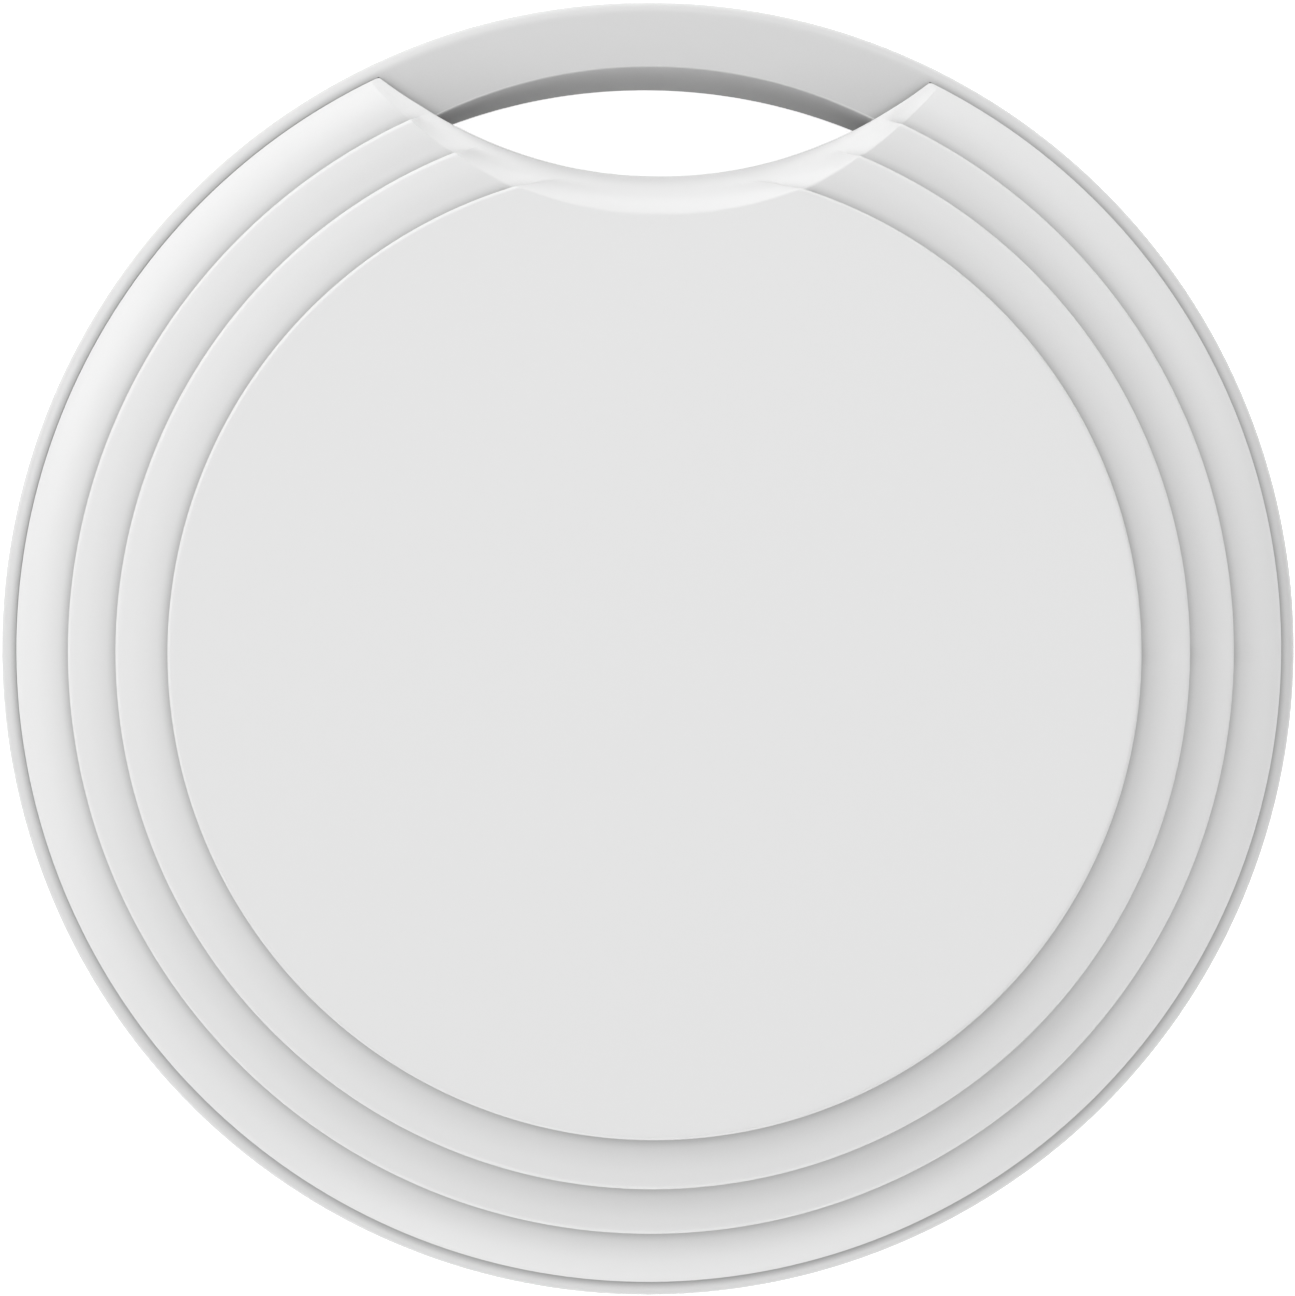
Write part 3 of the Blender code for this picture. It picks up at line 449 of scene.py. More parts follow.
def crescent(outer, bite_middle, bite, corner):
    """A disc bitten by an arc about a point on the Y axis, with its two horns rounded."""
    reach = outer - corner
    y = (reach**2 - (bite + corner) ** 2 + bite_middle**2) / (2 * bite_middle)
    x = math.sqrt(reach**2 - y**2)
    rim_angle = math.atan2(y, x)
    bite_angle = math.atan2(y - bite_middle, x)
    points = arc((0, 0), outer, math.pi - rim_angle, math.tau + rim_angle, RIM_SEGMENTS)
    points += arc((x, y), corner, rim_angle, bite_angle + math.pi, CORNER_SEGMENTS)[1:]
    points += arc((0, bite_middle), bite, bite_angle, -math.pi - bite_angle, SLOT_SEGMENTS)[1:]
    points += arc((-x, y), corner, -bite_angle, math.pi - rim_angle, CORNER_SEGMENTS)[1:-1]
    return points


def moon(inset, slot_inset=None):
    """The outline of the rear cover's cavity, moved in by the inset."""
    slot_inset = inset if slot_inset is None else slot_inset
    corner = max(CAVITY_CORNER - inset, SMALLEST_CORNER)
    return crescent(inner_radius - inset, cavity_y, CAVITY_BITE + slot_inset, corner)


def lens(top, outer, bite):
    """The slot: the bail's arc, given by its top and radius, and the arc that bites into the covers."""
    middle = top - outer
    y = (outer**2 - middle**2 - bite**2 + bite_y**2) / (2 * (bite_y - middle))
    x = math.sqrt(outer**2 - (y - middle) ** 2)
    bail_angle = math.atan2(y - middle, x)
    bite_angle = math.atan2(y - bite_y, x)
    points = arc((0, middle), outer, bail_angle, math.pi - bail_angle, SLOT_SEGMENTS)
    points += arc((0, bite_y), bite, -math.pi - bite_angle, bite_angle, SLOT_SEGMENTS)[1:-1]
    return points


def quarter(radius, steps=ROUND_STEPS):
    """Sideways and upward shares of a quarter round, from flat to upright."""
    angles = [math.pi / 2 * i / steps for i in range(steps + 1)]
    return [(radius * math.sin(a), radius * (1 - math.cos(a))) for a in angles]


def lower_edge(radius, bottom, edge, steps=ROUND_STEPS):
    """Profile of a rounded lower edge, from the underside outwards."""
    return [(radius - edge + side, bottom + rise) for side, rise in quarter(edge, steps)]


def upper_edge(radius, top, edge):
    """Profile of a rounded upper edge, from the side inwards."""
    return [(radius - edge + side, top - rise) for side, rise in quarter(edge)[::-1]]


def rounded_disc(radius, bottom, top, edge):
    """Profile of a disc with rounded edges, from its underside to its top."""
    return lower_edge(radius, bottom, edge) + upper_edge(radius, top, edge)


def rounded_ring(inner, outer, bottom, top, edge):
    """Closed profile of a ring with rounded edges."""
    profile = rounded_disc(outer, bottom, top, edge)
    profile += [(inner + edge - side, top - rise) for side, rise in quarter(edge)]
    return profile + [(inner + edge - side, bottom + rise) for side, rise in quarter(edge)[::-1]]


def node_disc(node, edge, inner=None):
    """Profile that fills a CAD node's box: a disc, or a ring if there is an inner radius."""
    low, high = node_box(node)
    if inner is None:
        return rounded_disc(half_width(node), low.z, high.z, edge)
    return rounded_ring(inner, half_width(node), low.z, high.z, edge)


def chamfered(outline, bottom, top, edge):
    """Sections of an upright shape, whose outline is moved in by the edge at both ends."""
    lower = [(outline(edge), bottom), (outline(0), bottom + edge)]
    return lower + [(outline(0), top - edge), (outline(edge), top)]


def placed(name, data):
    """Adds an object to the scene."""
    obj = bpy.data.objects.new(name, data)
    bpy.context.scene.collection.objects.link(obj)
    return obj


class Piece:
    """A mesh made of rows of points that are joined, filled or turned, in millimetres."""

    def __init__(self):
        self.mesh = bmesh.new()
        self.painted = self.mesh.faces.layers.int.new("painted")

    def row(self, outline, height):
        """A closed row of points at one height."""
        return [self.mesh.verts.new((x, y, height)) for x, y in outline]

    def loft(self, rows, closed=False):
        """Joins each row to the next."""
        pairs = list(zip(rows, rows[1:]))
        if closed:
            pairs.append((rows[-1], rows[0]))
        for first, second in pairs:
            count = len(first)
            for i in range(count):
                j = (i + 1) % count
                self.mesh.faces.new((first[i], first[j], second[j], second[i]))

    def stack(self, sections, closed=False):
        """Makes a row of each outline at its height and joins the rows in turn."""
        rows = [self.row(outline, height) for outline, height in sections]
        self.loft(rows, closed)
        return rows

    def fill(self, *rows):
        """Fills the flat region inside the first row, around the others."""
        edges = []
        for row in rows:
            for i, point in enumerate(row):
                ends = (point, row[(i + 1) % len(row)])
                edges.append(self.mesh.edges.get(ends) or self.mesh.edges.new(ends))
        bmesh.ops.triangle_fill(self.mesh, use_beauty=True, edges=edges)

    def capped(self, sections):
        """A stack with its first and last row filled."""
        rows = self.stack(sections)
        self.fill(rows[0])
        self.fill(rows[-1])

    def spun(self, profile, centre, segments=SMALL_SEGMENTS, closed=False):
        """Turns a profile of (radius, height) points and leaves its ends open."""
        sections = [(circle(centre, radius, segments), height) for radius, height in profile]
        return self.stack(sections, closed)

    def turned(self, profile, centre, segments=SMALL_SEGMENTS, ring=False):
        """Turns a profile. Its flat ends are filled, or joined if it is a ring."""
        rows = self.spun(profile, centre, segments, ring)
        if not ring:
            self.fill(rows[0])
            self.fill(rows[-1])

    def wall(self, radius, start, end, centre, segments=SMALL_SEGMENTS):
        """An upright round wall between two heights, open at both."""
        return self.spun([(radius, start), (radius, end)], centre, segments)

    def block(self, size, place, bevel=0, angle=0.0, steps=BEVEL_STEPS):
        """A box with rounded edges that stands on its place."""
        made = bmesh.ops.create_cube(self.mesh, size=1)["verts"]
        bmesh.ops.scale(self.mesh, verts=made, vec=size)
        if bevel:
            edges = list({edge for vert in made for edge in vert.link_edges})
            rounded = bmesh.ops.bevel(
                self.mesh, geom=edges, offset=bevel, segments=steps, profile=BEVEL_PROFILE, affect="EDGES"
            )
            made = list({vert for part in rounded["faces"] for vert in part.verts})
        lift = Matrix.Translation((place[0], place[1], place[2] + size[2] / 2))
        bmesh.ops.transform(self.mesh, matrix=lift @ Matrix.Rotation(angle, 4, "Z"), verts=made)

    def paint(self, index):
        """Gives the faces made since the last call this material."""
        for part in self.mesh.faces:
            if not part[self.painted]:
                part.material_index = index
                part[self.painted] = 1

    def move(self, matrix):
        bmesh.ops.transform(self.mesh, matrix=matrix, verts=self.mesh.verts)

    def finish(self, name, node, slot, *finishes, body="rear"):
        """Makes the object, in metres, and ties it to the frame."""
        bmesh.ops.recalc_face_normals(self.mesh, faces=self.mesh.faces)
        bmesh.ops.scale(self.mesh, verts=self.mesh.verts, vec=(MM, MM, MM))
        data = bpy.data.meshes.new(name)
        self.mesh.faces.layers.int.remove(self.painted)
        self.mesh.to_mesh(data)
        self.mesh.free()
        for finish in finishes:
            data.materials.append(finish_of(finish))
        data.shade_smooth()
        data.set_sharp_from_angle(angle=SHARP_ANGLE)
        obj = placed(name, data)
        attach(obj, body)
        if node:
            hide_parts(node)
        return obj


def turned_piece(names, finish, profile, centre, segments=CELL_SEGMENTS, ring=False, body="rear"):
    """Turns a piece of one finish. The names are its own, its CAD node's and its slot's; the slot's is not
    used.
    """
    piece = Piece()
    piece.turned(profile, centre, segments, ring)
    return piece.finish(*names, finish, body=body)


def put(tree, target, values):
    """Sets a shader node's inputs: a socket is linked, and any other value is written in."""
    for name, value in values.items():
        if isinstance(value, bpy.types.NodeSocket):
            tree.links.new(value, target.inputs[name])
        else:
            target.inputs[name].default_value = value


def add_node(tree, kind, output, values, **traits):
    """Adds a shader node with some traits and inputs, and gives one of its outputs."""
    made = tree.nodes.new(f"ShaderNode{kind}")
    for trait, value in traits.items():
        setattr(made, trait, value)
    put(tree, made, values)
    return made.outputs[output]


def bump_on(material, height, depth):
    """Raises a material's surface by a height texture, over any bump that it has already."""
    tree = material.node_tree
    normal = tree.nodes["Principled BSDF"].inputs["Normal"]
    inputs = {"Distance": depth * MM, "Height": height}
    if normal.is_linked:
        inputs["Normal"] = normal.links[0].from_socket
    tree.links.new(add_node(tree, "Bump", "Normal", inputs), normal)


def paint_crease_shade(tree, colour, reaches):
    """Paints shade into a colour where the surface is closed in by its own steps, by ambient occlusion."""
    for reach, shade in reaches:
        inputs = {"Distance": reach * MM, "Color": colour}
        near = add_node(tree, "AmbientOcclusion", "Color", inputs, samples=PAINTED_SHADE_SAMPLES)
        inputs = {"Factor": shade, "A": colour, "B": near}
        colour = add_node(tree, "Mix", "Result", inputs, data_type="RGBA")
    return colour


def finish_of(name):
    """A material with a fine grain, slow changes of tint and gloss, and painted shade in creases where a
    finish lists it.
    """
    material = bpy.data.materials.get(name)
    if material:
        return material
    colour, roughness, metallic, grain_size, grain_depth, tint, gloss = FINISHES[name]
    material = bpy.data.materials.new(name)
    material.use_nodes = True
    tree = material.node_tree
    place = tree.nodes.new("ShaderNodeTexCoord").outputs["Object"]
    inputs = {"Scale": 1 / (grain_size * MM), "Detail": GRAIN_DETAIL, "Vector": place}
    bump_on(material, add_node(tree, "TexNoise", "Fac", inputs), grain_depth)
    slow = add_node(tree, "TexNoise", "Fac", {"Scale": 1 / (SLOW_SIZE * MM), "Vector": place})
    darker = (*[part * (1 - tint) for part in colour], 1.0)
    lighter = (*[part * (1 + tint) for part in colour], 1.0)
    inputs = {"A": darker, "B": lighter, "Factor": slow}
    tinted = add_node(tree, "Mix", "Result", inputs, data_type="RGBA")
    inputs = {"To Min": roughness - gloss, "To Max": roughness + gloss, "Value": slow}
    # The base colour carries painted shade in its creases
    looks = {
        "Metallic": metallic,
        "Base Color": paint_crease_shade(tree, tinted, PAINTED_CREASE_SHADE.get(name, ())),
        "Roughness": add_node(tree, "MapRange", "Result", inputs),
    }
    put(tree, tree.nodes["Principled BSDF"], looks)
    return material


def add_turning_rings(material, centre):
    """Adds fine turning rings about an upright axis to a material."""
    tree = material.node_tree
    place = tree.nodes.new("ShaderNodeTexCoord").outputs["Object"]
    shift = {"Location": (-centre[0] * MM, -centre[1] * MM, 0), "Vector": place}
    inputs = {
        "Scale": math.tau / (WAVE_FACTOR * TURNED_SPACING * MM),
        "Distortion": TURNED_WAVER,
        "Vector": add_node(tree, "Mapping", "Vector", shift),
    }
    rings = add_node(tree, "TexWave", "Fac", inputs, wave_type="RINGS", rings_direction="Z")
    bump_on(material, rings, TURNED_DEPTH)


def blend(low, high, share):
    return low + (high - low) * share


def read_off(points, place):
    """Reads a line through some points, which stays level past its ends."""
    if place <= points[0][0]:
        return points[0][1]
    for near, far in zip(points, points[1:]):
        if place <= far[0]:
            return blend(near[1], far[1], (place - near[0]) / (far[0] - near[0]))
    return points[-1][1]


def band_line(share):
    """Points at some share of the band's width from the slot."""
    points = []
    for i in range(2 * SLOT_SEGMENTS + 1):
        angle = -math.pi + math.pi * i / (2 * SLOT_SEGMENTS)
        distance = 0.0
        for _ in range(BAND_ROUNDS):
            x, y = on_ring(BITE_RADIUS + distance, angle)
            distance = share * read_off(BAND_WIDTHS, math.hypot(x, bite_y + y))
        points.append((x, bite_y + y))
    return points


def band_lift(share):
    """How high the band has risen, from 0 at the slot to 1 beyond its soft crease."""
    full = math.sqrt(1 - (1 - BAND_FULLNESS) ** 2)
    if share >= 1 + BAND_CREASE:
        return 1.0
    low = math.sqrt(1 - (1 - BAND_FULLNESS * min(share, 1 - BAND_CREASE)) ** 2) / full
    if share <= 1 - BAND_CREASE:
        return low
    left = (1 + BAND_CREASE - share) / (2 * BAND_CREASE)
    return 1 - (1 - low) * left**2


def shoulder_height(radius):
    share = min(max((radius - outer_ring_radius) / SHOULDER_WIDTH, 0), 1)
    straight = SHOULDER_WIDTH * math.tan(SHOULDER_SLOPE)
    bend = 1 - math.sqrt(1 - (SHOULDER_FULLNESS * share) ** 2)
    full_bend = 1 - math.sqrt(1 - SHOULDER_FULLNESS**2)
    return shoulder_top - straight * share - (SHOULDER_RISE - straight) * bend / full_bend


def step_share(radius, edge, rise):
    """How much of a step has been climbed: a leaning wall, then a rounded edge."""
    within = edge - radius
    if within <= -STEP_DRAFT:
        return 0.0
    wall = rise - STEP_ROUND
    if within <= 0:
        return wall * (1 + within / STEP_DRAFT) / rise
    if within >= STEP_ROUND:
        return 1.0
    return (wall + math.sqrt(STEP_ROUND**2 - (STEP_ROUND - within) ** 2)) / rise


def front_profile(radius):
    """Height of the stepped face at a distance from the tag's centre, before the band is cut."""
    outer_share = (outer_ring_radius - radius) / OUTER_RING_WIDTH
    inner_share = (inner_ring_radius - radius) / INNER_RING_WIDTH
    levels = (
        (outer_ring_edge + OUTER_RING_RISE * outer_share, outer_ring_radius, FIRST_STEP),
        (inner_ring_edge + INNER_RING_RISE * inner_share, inner_ring_radius, SECOND_STEP),
        (face, disc_radius, THIRD_STEP),
    )
    height = shoulder_height(radius)
    below = height
    for level, edge, rise in levels:
        height += step_share(radius, edge, rise) * (level - below)
        below = level
    return height


# Heights that the band rises to, without the steps
band_tops = [(radius, front_profile(radius)) for radius, width in BAND_WIDTHS]


def front_height(x, y):
    """Height of the front cover's outer surface. The steps fade out inside the band."""
    radius = math.hypot(x, y)
    from_slot = max(math.hypot(x, y - bite_y) - BITE_RADIUS, 0)
    share = from_slot / read_off(BAND_WIDTHS, radius)
    stepped = min(max((share - BAND_FADE) / (1 - BAND_FADE), 0), 1)
    level = blend(read_off(band_tops, radius), front_profile(radius), stepped)
    return blend(min(band_base, level - BAND_LIP), level, band_lift(share))


def front_rows():
    """Distances from the centre at which the front cover's surface bends."""
    radii = []
    for edge in (outer_ring_radius, inner_ring_radius, disc_radius):
        radii.append(edge + STEP_DRAFT)
        radii += [edge - rise for side, rise in quarter(STEP_ROUND)]
        radii.append(edge - 2 * STEP_ROUND)
    radii += [outer_ring_radius + SHOULDER_WIDTH * share for share in SHOULDER_ROWS]
    radii.append(outer_ring_radius - OUTER_RING_WIDTH / 2)
    radii.append(inner_ring_radius - INNER_RING_WIDTH / 2)
    return radii


def add_front_surface(piece):
    """The stepped face: rows along the steps and rows along the slot share one triangulation."""
    outline = crescent(front_radius, bite_y, BITE_RADIUS, TIP_ROUND)
    lines = [outline + outline[:1]]
    for radius in front_rows():
        lines.append(arc((0, 0), radius, 0, math.tau, RIM_SEGMENTS))
    for distance in BAND_ROWS:
        lines.append(arc((0, bite_y), BITE_RADIUS + distance, -math.pi, 0, 2 * SLOT_SEGMENTS))
    lines += [band_line(share) for share in (1 - BAND_CREASE, 1, 1 + BAND_CREASE)]
    points = []
    edges = []
    for line in lines:
        edges += [(len(points) + i, len(points) + i + 1) for i in range(len(line) - 1)]
        points += [Vector(point) for point in line]
    cover = list(range(len(outline)))
    flat, _, faces, _, _, sources = delaunay_2d_cdt(points, edges, [cover], 0, MERGE_DISTANCE)
    verts = {}
    for corners, source in zip(faces, sources):
        if not source:
            continue
        for i in corners:
            if i not in verts:
                verts[i] = piece.mesh.verts.new((flat[i].x, flat[i].y, front_height(flat[i].x, flat[i].y)))
        piece.mesh.faces.new([verts[i] for i in corners])


def open_row(piece):
    """The points along the open edge of the surface made so far, in order."""
    after = {}
    for edge in piece.mesh.edges:
        if edge.is_boundary:
            loop = edge.link_loops[0]
            after[loop.vert] = loop.link_loop_next.vert
    row = [next(iter(after))]
    while after[row[-1]] is not row[0]:
        row.append(after[row[-1]])
    return row


def build_front_cover():
    piece = Piece()
    add_front_surface(piece)
    edge = open_row(piece)
    seam = piece.row([(point.co.x, point.co.y) for point in edge], front_bottom)
    piece.loft([edge, seam])
    skirt_inset = SKIRT_GAP + SKIRT_WALL
    slot_inset = skirt_inset + HOLLOW_DRAFT
    ledge = outer_ring_edge - FRONT_WALL
    middle = inner_ring_edge - FRONT_WALL
    middle_moon = moon(inner_radius - inner_ring_radius + SIDE_WALL, slot_inset)
    top_moon = moon(inner_radius - disc_radius + SIDE_WALL, slot_inset + HOLLOW_DRAFT)
    corner = quarter(SKIRT_ROUND)
    hollow = [(moon(SKIRT_GAP), front_bottom)]
    hollow += [(moon(SKIRT_GAP + SKIRT_ROUND - side), skirt_bottom + rise) for side, rise in corner[::-1]]
    hollow += [(moon(skirt_inset - SKIRT_ROUND + side), skirt_bottom + rise) for side, rise in corner]
    hollow += [(moon(skirt_inset), ledge), (middle_moon, ledge), (middle_moon, middle)]
    hollow += [(top_moon, middle), (top_moon, ceiling)]
    rows = piece.stack(hollow)
    piece.fill(seam, rows[0])
    post = piece.wall(POST_RADIUS, ceiling, node_box("switch_plunger")[1].z + POST_GAP, switch_centre)
    piece.fill(rows[-1], post[0])
    piece.fill(post[1])
    piece.finish("front_shell", "front_cover", "front_shell", "front_white", body="front")


def slot_sections():
    """Outlines and heights of the slot's wall, from the back to the seam, with rounded edges."""
    sections = []
    bail_top = inner_radius - BAIL_INSET
    for side, rise in quarter(SLOT_EDGE_ROUND):
        spread = SLOT_EDGE_ROUND - side
        top = bail_top + SLOT_DRAFT + spread
        sections.append((lens(top, top, BITE_RADIUS + spread), rise))
    for side, rise in quarter(SLOT_FRONT_ROUND)[::-1]:
        spread = SLOT_FRONT_ROUND - side
        seam_spread = spread * SLOT_SEAM_ROUND / SLOT_FRONT_ROUND
        outline = lens(bail_top + spread, BAIL_ARC + spread, BITE_RADIUS + seam_spread)
        sections.append((outline, parting - rise))
    return sections


def seam_outline():
    """The thin gap that the rear cover leaves along the front cover's edge."""
    tip_y = (front_radius**2 - BITE_RADIUS**2 + bite_y**2) / (2 * bite_y)
    tip = math.asin(tip_y / front_radius)
    points = arc((0, 0), front_radius + SEAM_REVEAL, math.pi - tip, math.tau + tip, RIM_SEGMENTS)
    return points + arc((0, 0), front_radius - SEAM_UNDERCUT, math.tau + tip, math.pi - tip, RIM_SEGMENTS)


def build_rear_cover():
    piece = Piece()
    outside = lower_edge(body_radius, 0, BACK_ROUND, 2 * ROUND_STEPS)
    outside += upper_edge(body_radius, parting, RIM_ROUND)
    skin = piece.spun(outside, (0, 0), RIM_SEGMENTS)
    piece.paint(0)
    slot = piece.stack(slot_sections())
    piece.paint(1)
    piece.fill(skin[0], slot[0])
    groove_outer = moon(-SEAL_INNER_WALL - SEAL_GROOVE_WIDTH)
    groove_inner = moon(-SEAL_INNER_WALL)
    groove_bottom = parting - SEAL_GROOVE_DEPTH
    hollow = [(groove_outer, parting), (groove_outer, groove_bottom)]
    hollow += [(groove_inner, groove_bottom), (groove_inner, parting), (moon(0), parting)]
    hollow += [(moon(FLOOR_ROUND - side), REAR_FLOOR + rise) for side, rise in quarter(FLOOR_ROUND)[::-1]]
    bowl = piece.stack(hollow)
    gap = piece.stack([(seam_outline(), parting), (seam_outline(), parting - SEAM_DEPTH)])
    piece.fill(gap[1])
    piece.fill(skin[-1], slot[-1], gap[0], bowl[0])
    seat_top = REAR_FLOOR + SOUNDER_SEAT
    ridge = [(sounder_radius, REAR_FLOOR), (sounder_radius, seat_top)]
    ridge += [(seat_inner, seat_top), (seat_inner, REAR_FLOOR)]
    seat = piece.spun(ridge, sounder_centre, CELL_SEGMENTS)
    piece.fill(seat[-1])
    boss_top = board_bottom - TOUCH
    pillar = [(BOSS_RADIUS, REAR_FLOOR), (BOSS_RADIUS, boss_top)]
    pillar += [(PILOT_RADIUS, boss_top), (PILOT_RADIUS, boss_top - PILOT_DEPTH)]
    bosses = [piece.spun(pillar, centre) for centre in screw_places]
    for boss in bosses:
        piece.fill(boss[-1])
    piece.fill(bowl[-1], seat[0], *[boss[0] for boss in bosses])
    piece.finish("rear_shell", "rear_cover", "rear_shell", "rear_white_painted_shade", "slot_white_painted_light")


def build_seal():
    """Silicone loop with rounded edges that fills the groove between the covers."""
    low, high = node_box("seal_ring")
    middle_inset = -SEAL_INNER_WALL - SEAL_GROOVE_WIDTH / 2
    half_across = SEAL_WIDTH / 2 - SEAL_ROUND
    half_height = (high.z - low.z) / 2 - SEAL_ROUND
    sections = []
    for turn in range(2 * ROUND_STEPS):
        angle = math.tau * (turn + 0.5) / (2 * ROUND_STEPS)
        across = math.copysign(half_across, math.cos(angle)) + SEAL_ROUND * math.cos(angle)
        upward = math.copysign(half_height, math.sin(angle)) + SEAL_ROUND * math.sin(angle)
        sections.append((moon(middle_inset - across), (high.z + low.z) / 2 + upward))
    piece = Piece()
    piece.stack(sections, closed=True)
    piece.finish("seal_loop", "seal_ring", "silicone", "silicone")


def build_foam_pad():
    names = ("foam_cushion", "foam_pad", "foam")
    profile = node_disc("foam_pad", FOAM_ROUND)
    pad = turned_piece(names, "foam", profile, middle_of("foam_pad"), body="front")


def build_sounder():
    """Tape ring, brass plate, and ceramic disc with its silvered face."""
    ring = node_disc("piezo_tape", SHEET_ROUND, seat_inner)
    turned_piece(("sounder_tape", "piezo_tape", "tape"), "bonding_tape", ring, sounder_centre, ring=True)
    plate = node_disc("piezo_plate", SHEET_ROUND)
    turned_piece(("sounder_plate", "piezo_plate", "brass"), "brass", plate, sounder_centre)
    low, high = node_box("piezo_ceramic")
    radius = half_width("piezo_ceramic")
    whole = rounded_disc(radius, low.z, high.z - SILVERING, SHEET_ROUND)
    silvered = rounded_disc(radius - SILVER_INSET, high.z - 2 * SILVERING, high.z, SILVERING / 2)
    disc = Piece()
    for index, profile in enumerate((whole, silvered)):
        disc.turned(profile, sounder_centre, CELL_SEGMENTS)
        disc.paint(index)
    disc.finish("sounder_ceramic", "piezo_ceramic", "piezo_ceramic", "piezo_white", "silver")


def build_board():
    piece = Piece()
    sections = chamfered(
        lambda inset: moon(BOARD_EDGE_GAP + inset), board_bottom, board_top, BOARD_CHAMFER
    )
    rows = piece.stack(sections)
    holes = [piece.wall(BOARD_HOLE_RADIUS, board_bottom, board_top, centre) for centre in screw_places]
    for end in (0, -1):
        piece.fill(rows[end], *[hole[end] for hole in holes])
    piece.finish("circuit_board", "main_board", "board", "solder_mask")


def part_turn(node):
    """How far a part on the board is turned: its length lies along the rim."""
    if node in SQUARE_TO_AXES:
        return 0.0
    x, y = middle_of(node)
    return math.atan2(y, x) - math.pi / 2


def board_nodes(kinds):
    """CAD nodes of these kinds of part, each with its sizes."""
    nodes = []
    for kind in kinds:
        numbered = kind in ("capacitor", "resistor")
        names = [f"{kind}_{number}" for number in range(1, SMALL_PARTS + 1)] if numbered else [kind]
        nodes += [(name, PART_SIZES[kind]) for name in names]
    return nodes


def build_board_copper():
    """Lands, tracks and vias on the board's upper face."""
    lands = Piece()
    bottom = board_top - LAND_HEIGHT
    hole = BOARD_HOLE_RADIUS + LAND_GAP
    ring = rounded_ring(hole, LAND_RADIUS, bottom, board_top + LAND_HEIGHT, LAND_ROUND)
    for centre in screw_places:
        lands.turned(ring, centre, ring=True)
    for node, (length, depth, _) in board_nodes(TWO_ENDED):
        x, y = middle_of(node)
        turn = part_turn(node)
        size = (PAD_LENGTH + PAD_MARGIN, depth + PAD_MARGIN, 2 * LAND_HEIGHT)
        for side in (-1, 1):
            along = on_ring(side * (length - PAD_LENGTH) / 2, turn)
            lands.block(size, (x + along[0], y + along[1], bottom), angle=turn)
    lands.finish("board_lands", None, "board", "gold")
    tracks = Piece()
    paths = [arc((0, 0), radius, TRACK_START, TRACK_END, TRACK_STEPS) for radius in TRACK_RINGS]
    for path in (*paths, *TRACK_PATHS):
        outline = strip_outline(path, TRACK_WIDTH)
        tracks.capped([(outline, board_top - TRACK_HEIGHT), (outline, board_top + TRACK_HEIGHT)])
    ring = rounded_ring(VIA_HOLE, VIA_RADIUS, bottom, board_top + TRACK_HEIGHT, TRACK_HEIGHT / 2)
    for number in range(VIA_COUNT):
        place = on_ring(VIA_RING, math.tau * number / VIA_COUNT)
        clear = math.dist(place, (0, cavity_y)) > CAVITY_BITE + VIA_MARGIN
        if clear and all(math.dist(place, screw) > VIA_CLEAR_OF_SCREW for screw in screw_places):
            tracks.turned(ring, place, VIA_SEGMENTS, ring=True)
    tracks.finish("board_tracks", None, "board", "masked_copper")


def build_screws():
    """Screws with a rounded head, a hex socket and a ridged shank."""
    under_head = board_top + TOUCH
    for number, centre in enumerate(screw_places, 1):
        node = f"board_screw_{number}"
        low, high = node_box(node)
        steps = 2 * round((under_head - low.z) / THREAD_PITCH)
        profile = []
        for step in range(steps):
            radius = THREAD_RADIUS - (THREAD_DEPTH if step % 2 else 0)
            profile.append((radius, blend(low.z, under_head, step / steps)))
        profile.append((THREAD_RADIUS, under_head))
        profile += lower_edge(half_width(node), under_head, HEAD_EDGE)
        profile += upper_edge(half_width(node), high.z, HEAD_ROUND)
        piece = Piece()
        rows = piece.spun(profile, centre)
        socket = piece.wall(SOCKET_RADIUS, high.z, high.z - SOCKET_DEPTH, centre, SOCKET_SIDES)
        piece.fill(rows[0])
        piece.fill(rows[-1], socket[0])
        piece.fill(socket[1])
        piece.finish(f"machine_screw_{number}", node, "screw_steel", "zinc")


def build_cell():
    """Coin cell: a can with a crimped mouth, a gasket and a cap."""
    top = cell_high.z
    bottom = cell_low.z
    mouth = half_width("battery_gasket") + TOUCH
    roof = node_box("battery_gasket")[1].z + TOUCH
    profile = [(mouth, roof), (mouth, bottom + CRIMP_EDGE), (mouth + CRIMP_EDGE, bottom)]
    for side, rise in quarter(1.0):
        profile.append((cell_radius - CRIMP_WIDTH + CRIMP_WIDTH * side, bottom + CRIMP_HEIGHT * rise))
    profile += upper_edge(cell_radius, top, CAN_ROUND)
    bead = cell_radius - CAN_BEAD
    groove = bead - CAN_BEAD_WIDTH / 2
    profile += [(bead, top), (groove, top - CAN_BEAD_DEPTH), (bead - CAN_BEAD_WIDTH, top)]
    add_turning_rings(finish_of("cell_steel"), cell_centre)
    turned_piece(("cell_can", "battery_can", "cell_steel"), "cell_steel", profile, cell_centre)
    gasket = node_disc("battery_gasket", SHEET_ROUND, half_width("battery_cap") + TOUCH)
    names = ("cell_gasket", "battery_gasket", "black_plastic")
    turned_piece(names, "black_plastic", gasket, cell_centre, ring=True)
    cap = node_disc("battery_cap", CAP_ROUND)
    turned_piece(("cell_cap", "battery_cap", "cell_steel"), "cell_steel", cap, cell_centre)


def wall_sector(side, inset):
    """Outline of the cradle's wall on one side of the two contact windows."""
    inner = cradle_inner + inset
    outer = cradle_outer - inset
    window = CRADLE_WINDOW / 2 + inset
    outer_end = math.asin(window / outer)
    inner_end = math.asin(window / inner)
    outline = arc(cell_centre, outer, outer_end, math.pi - outer_end, CELL_SEGMENTS // 2)
    outline += arc(cell_centre, inner, math.pi - inner_end, inner_end, CELL_SEGMENTS // 2)
    if side < 0:
        outline = [(x, 2 * cell_centre[1] - y) for x, y in outline]
    return outline


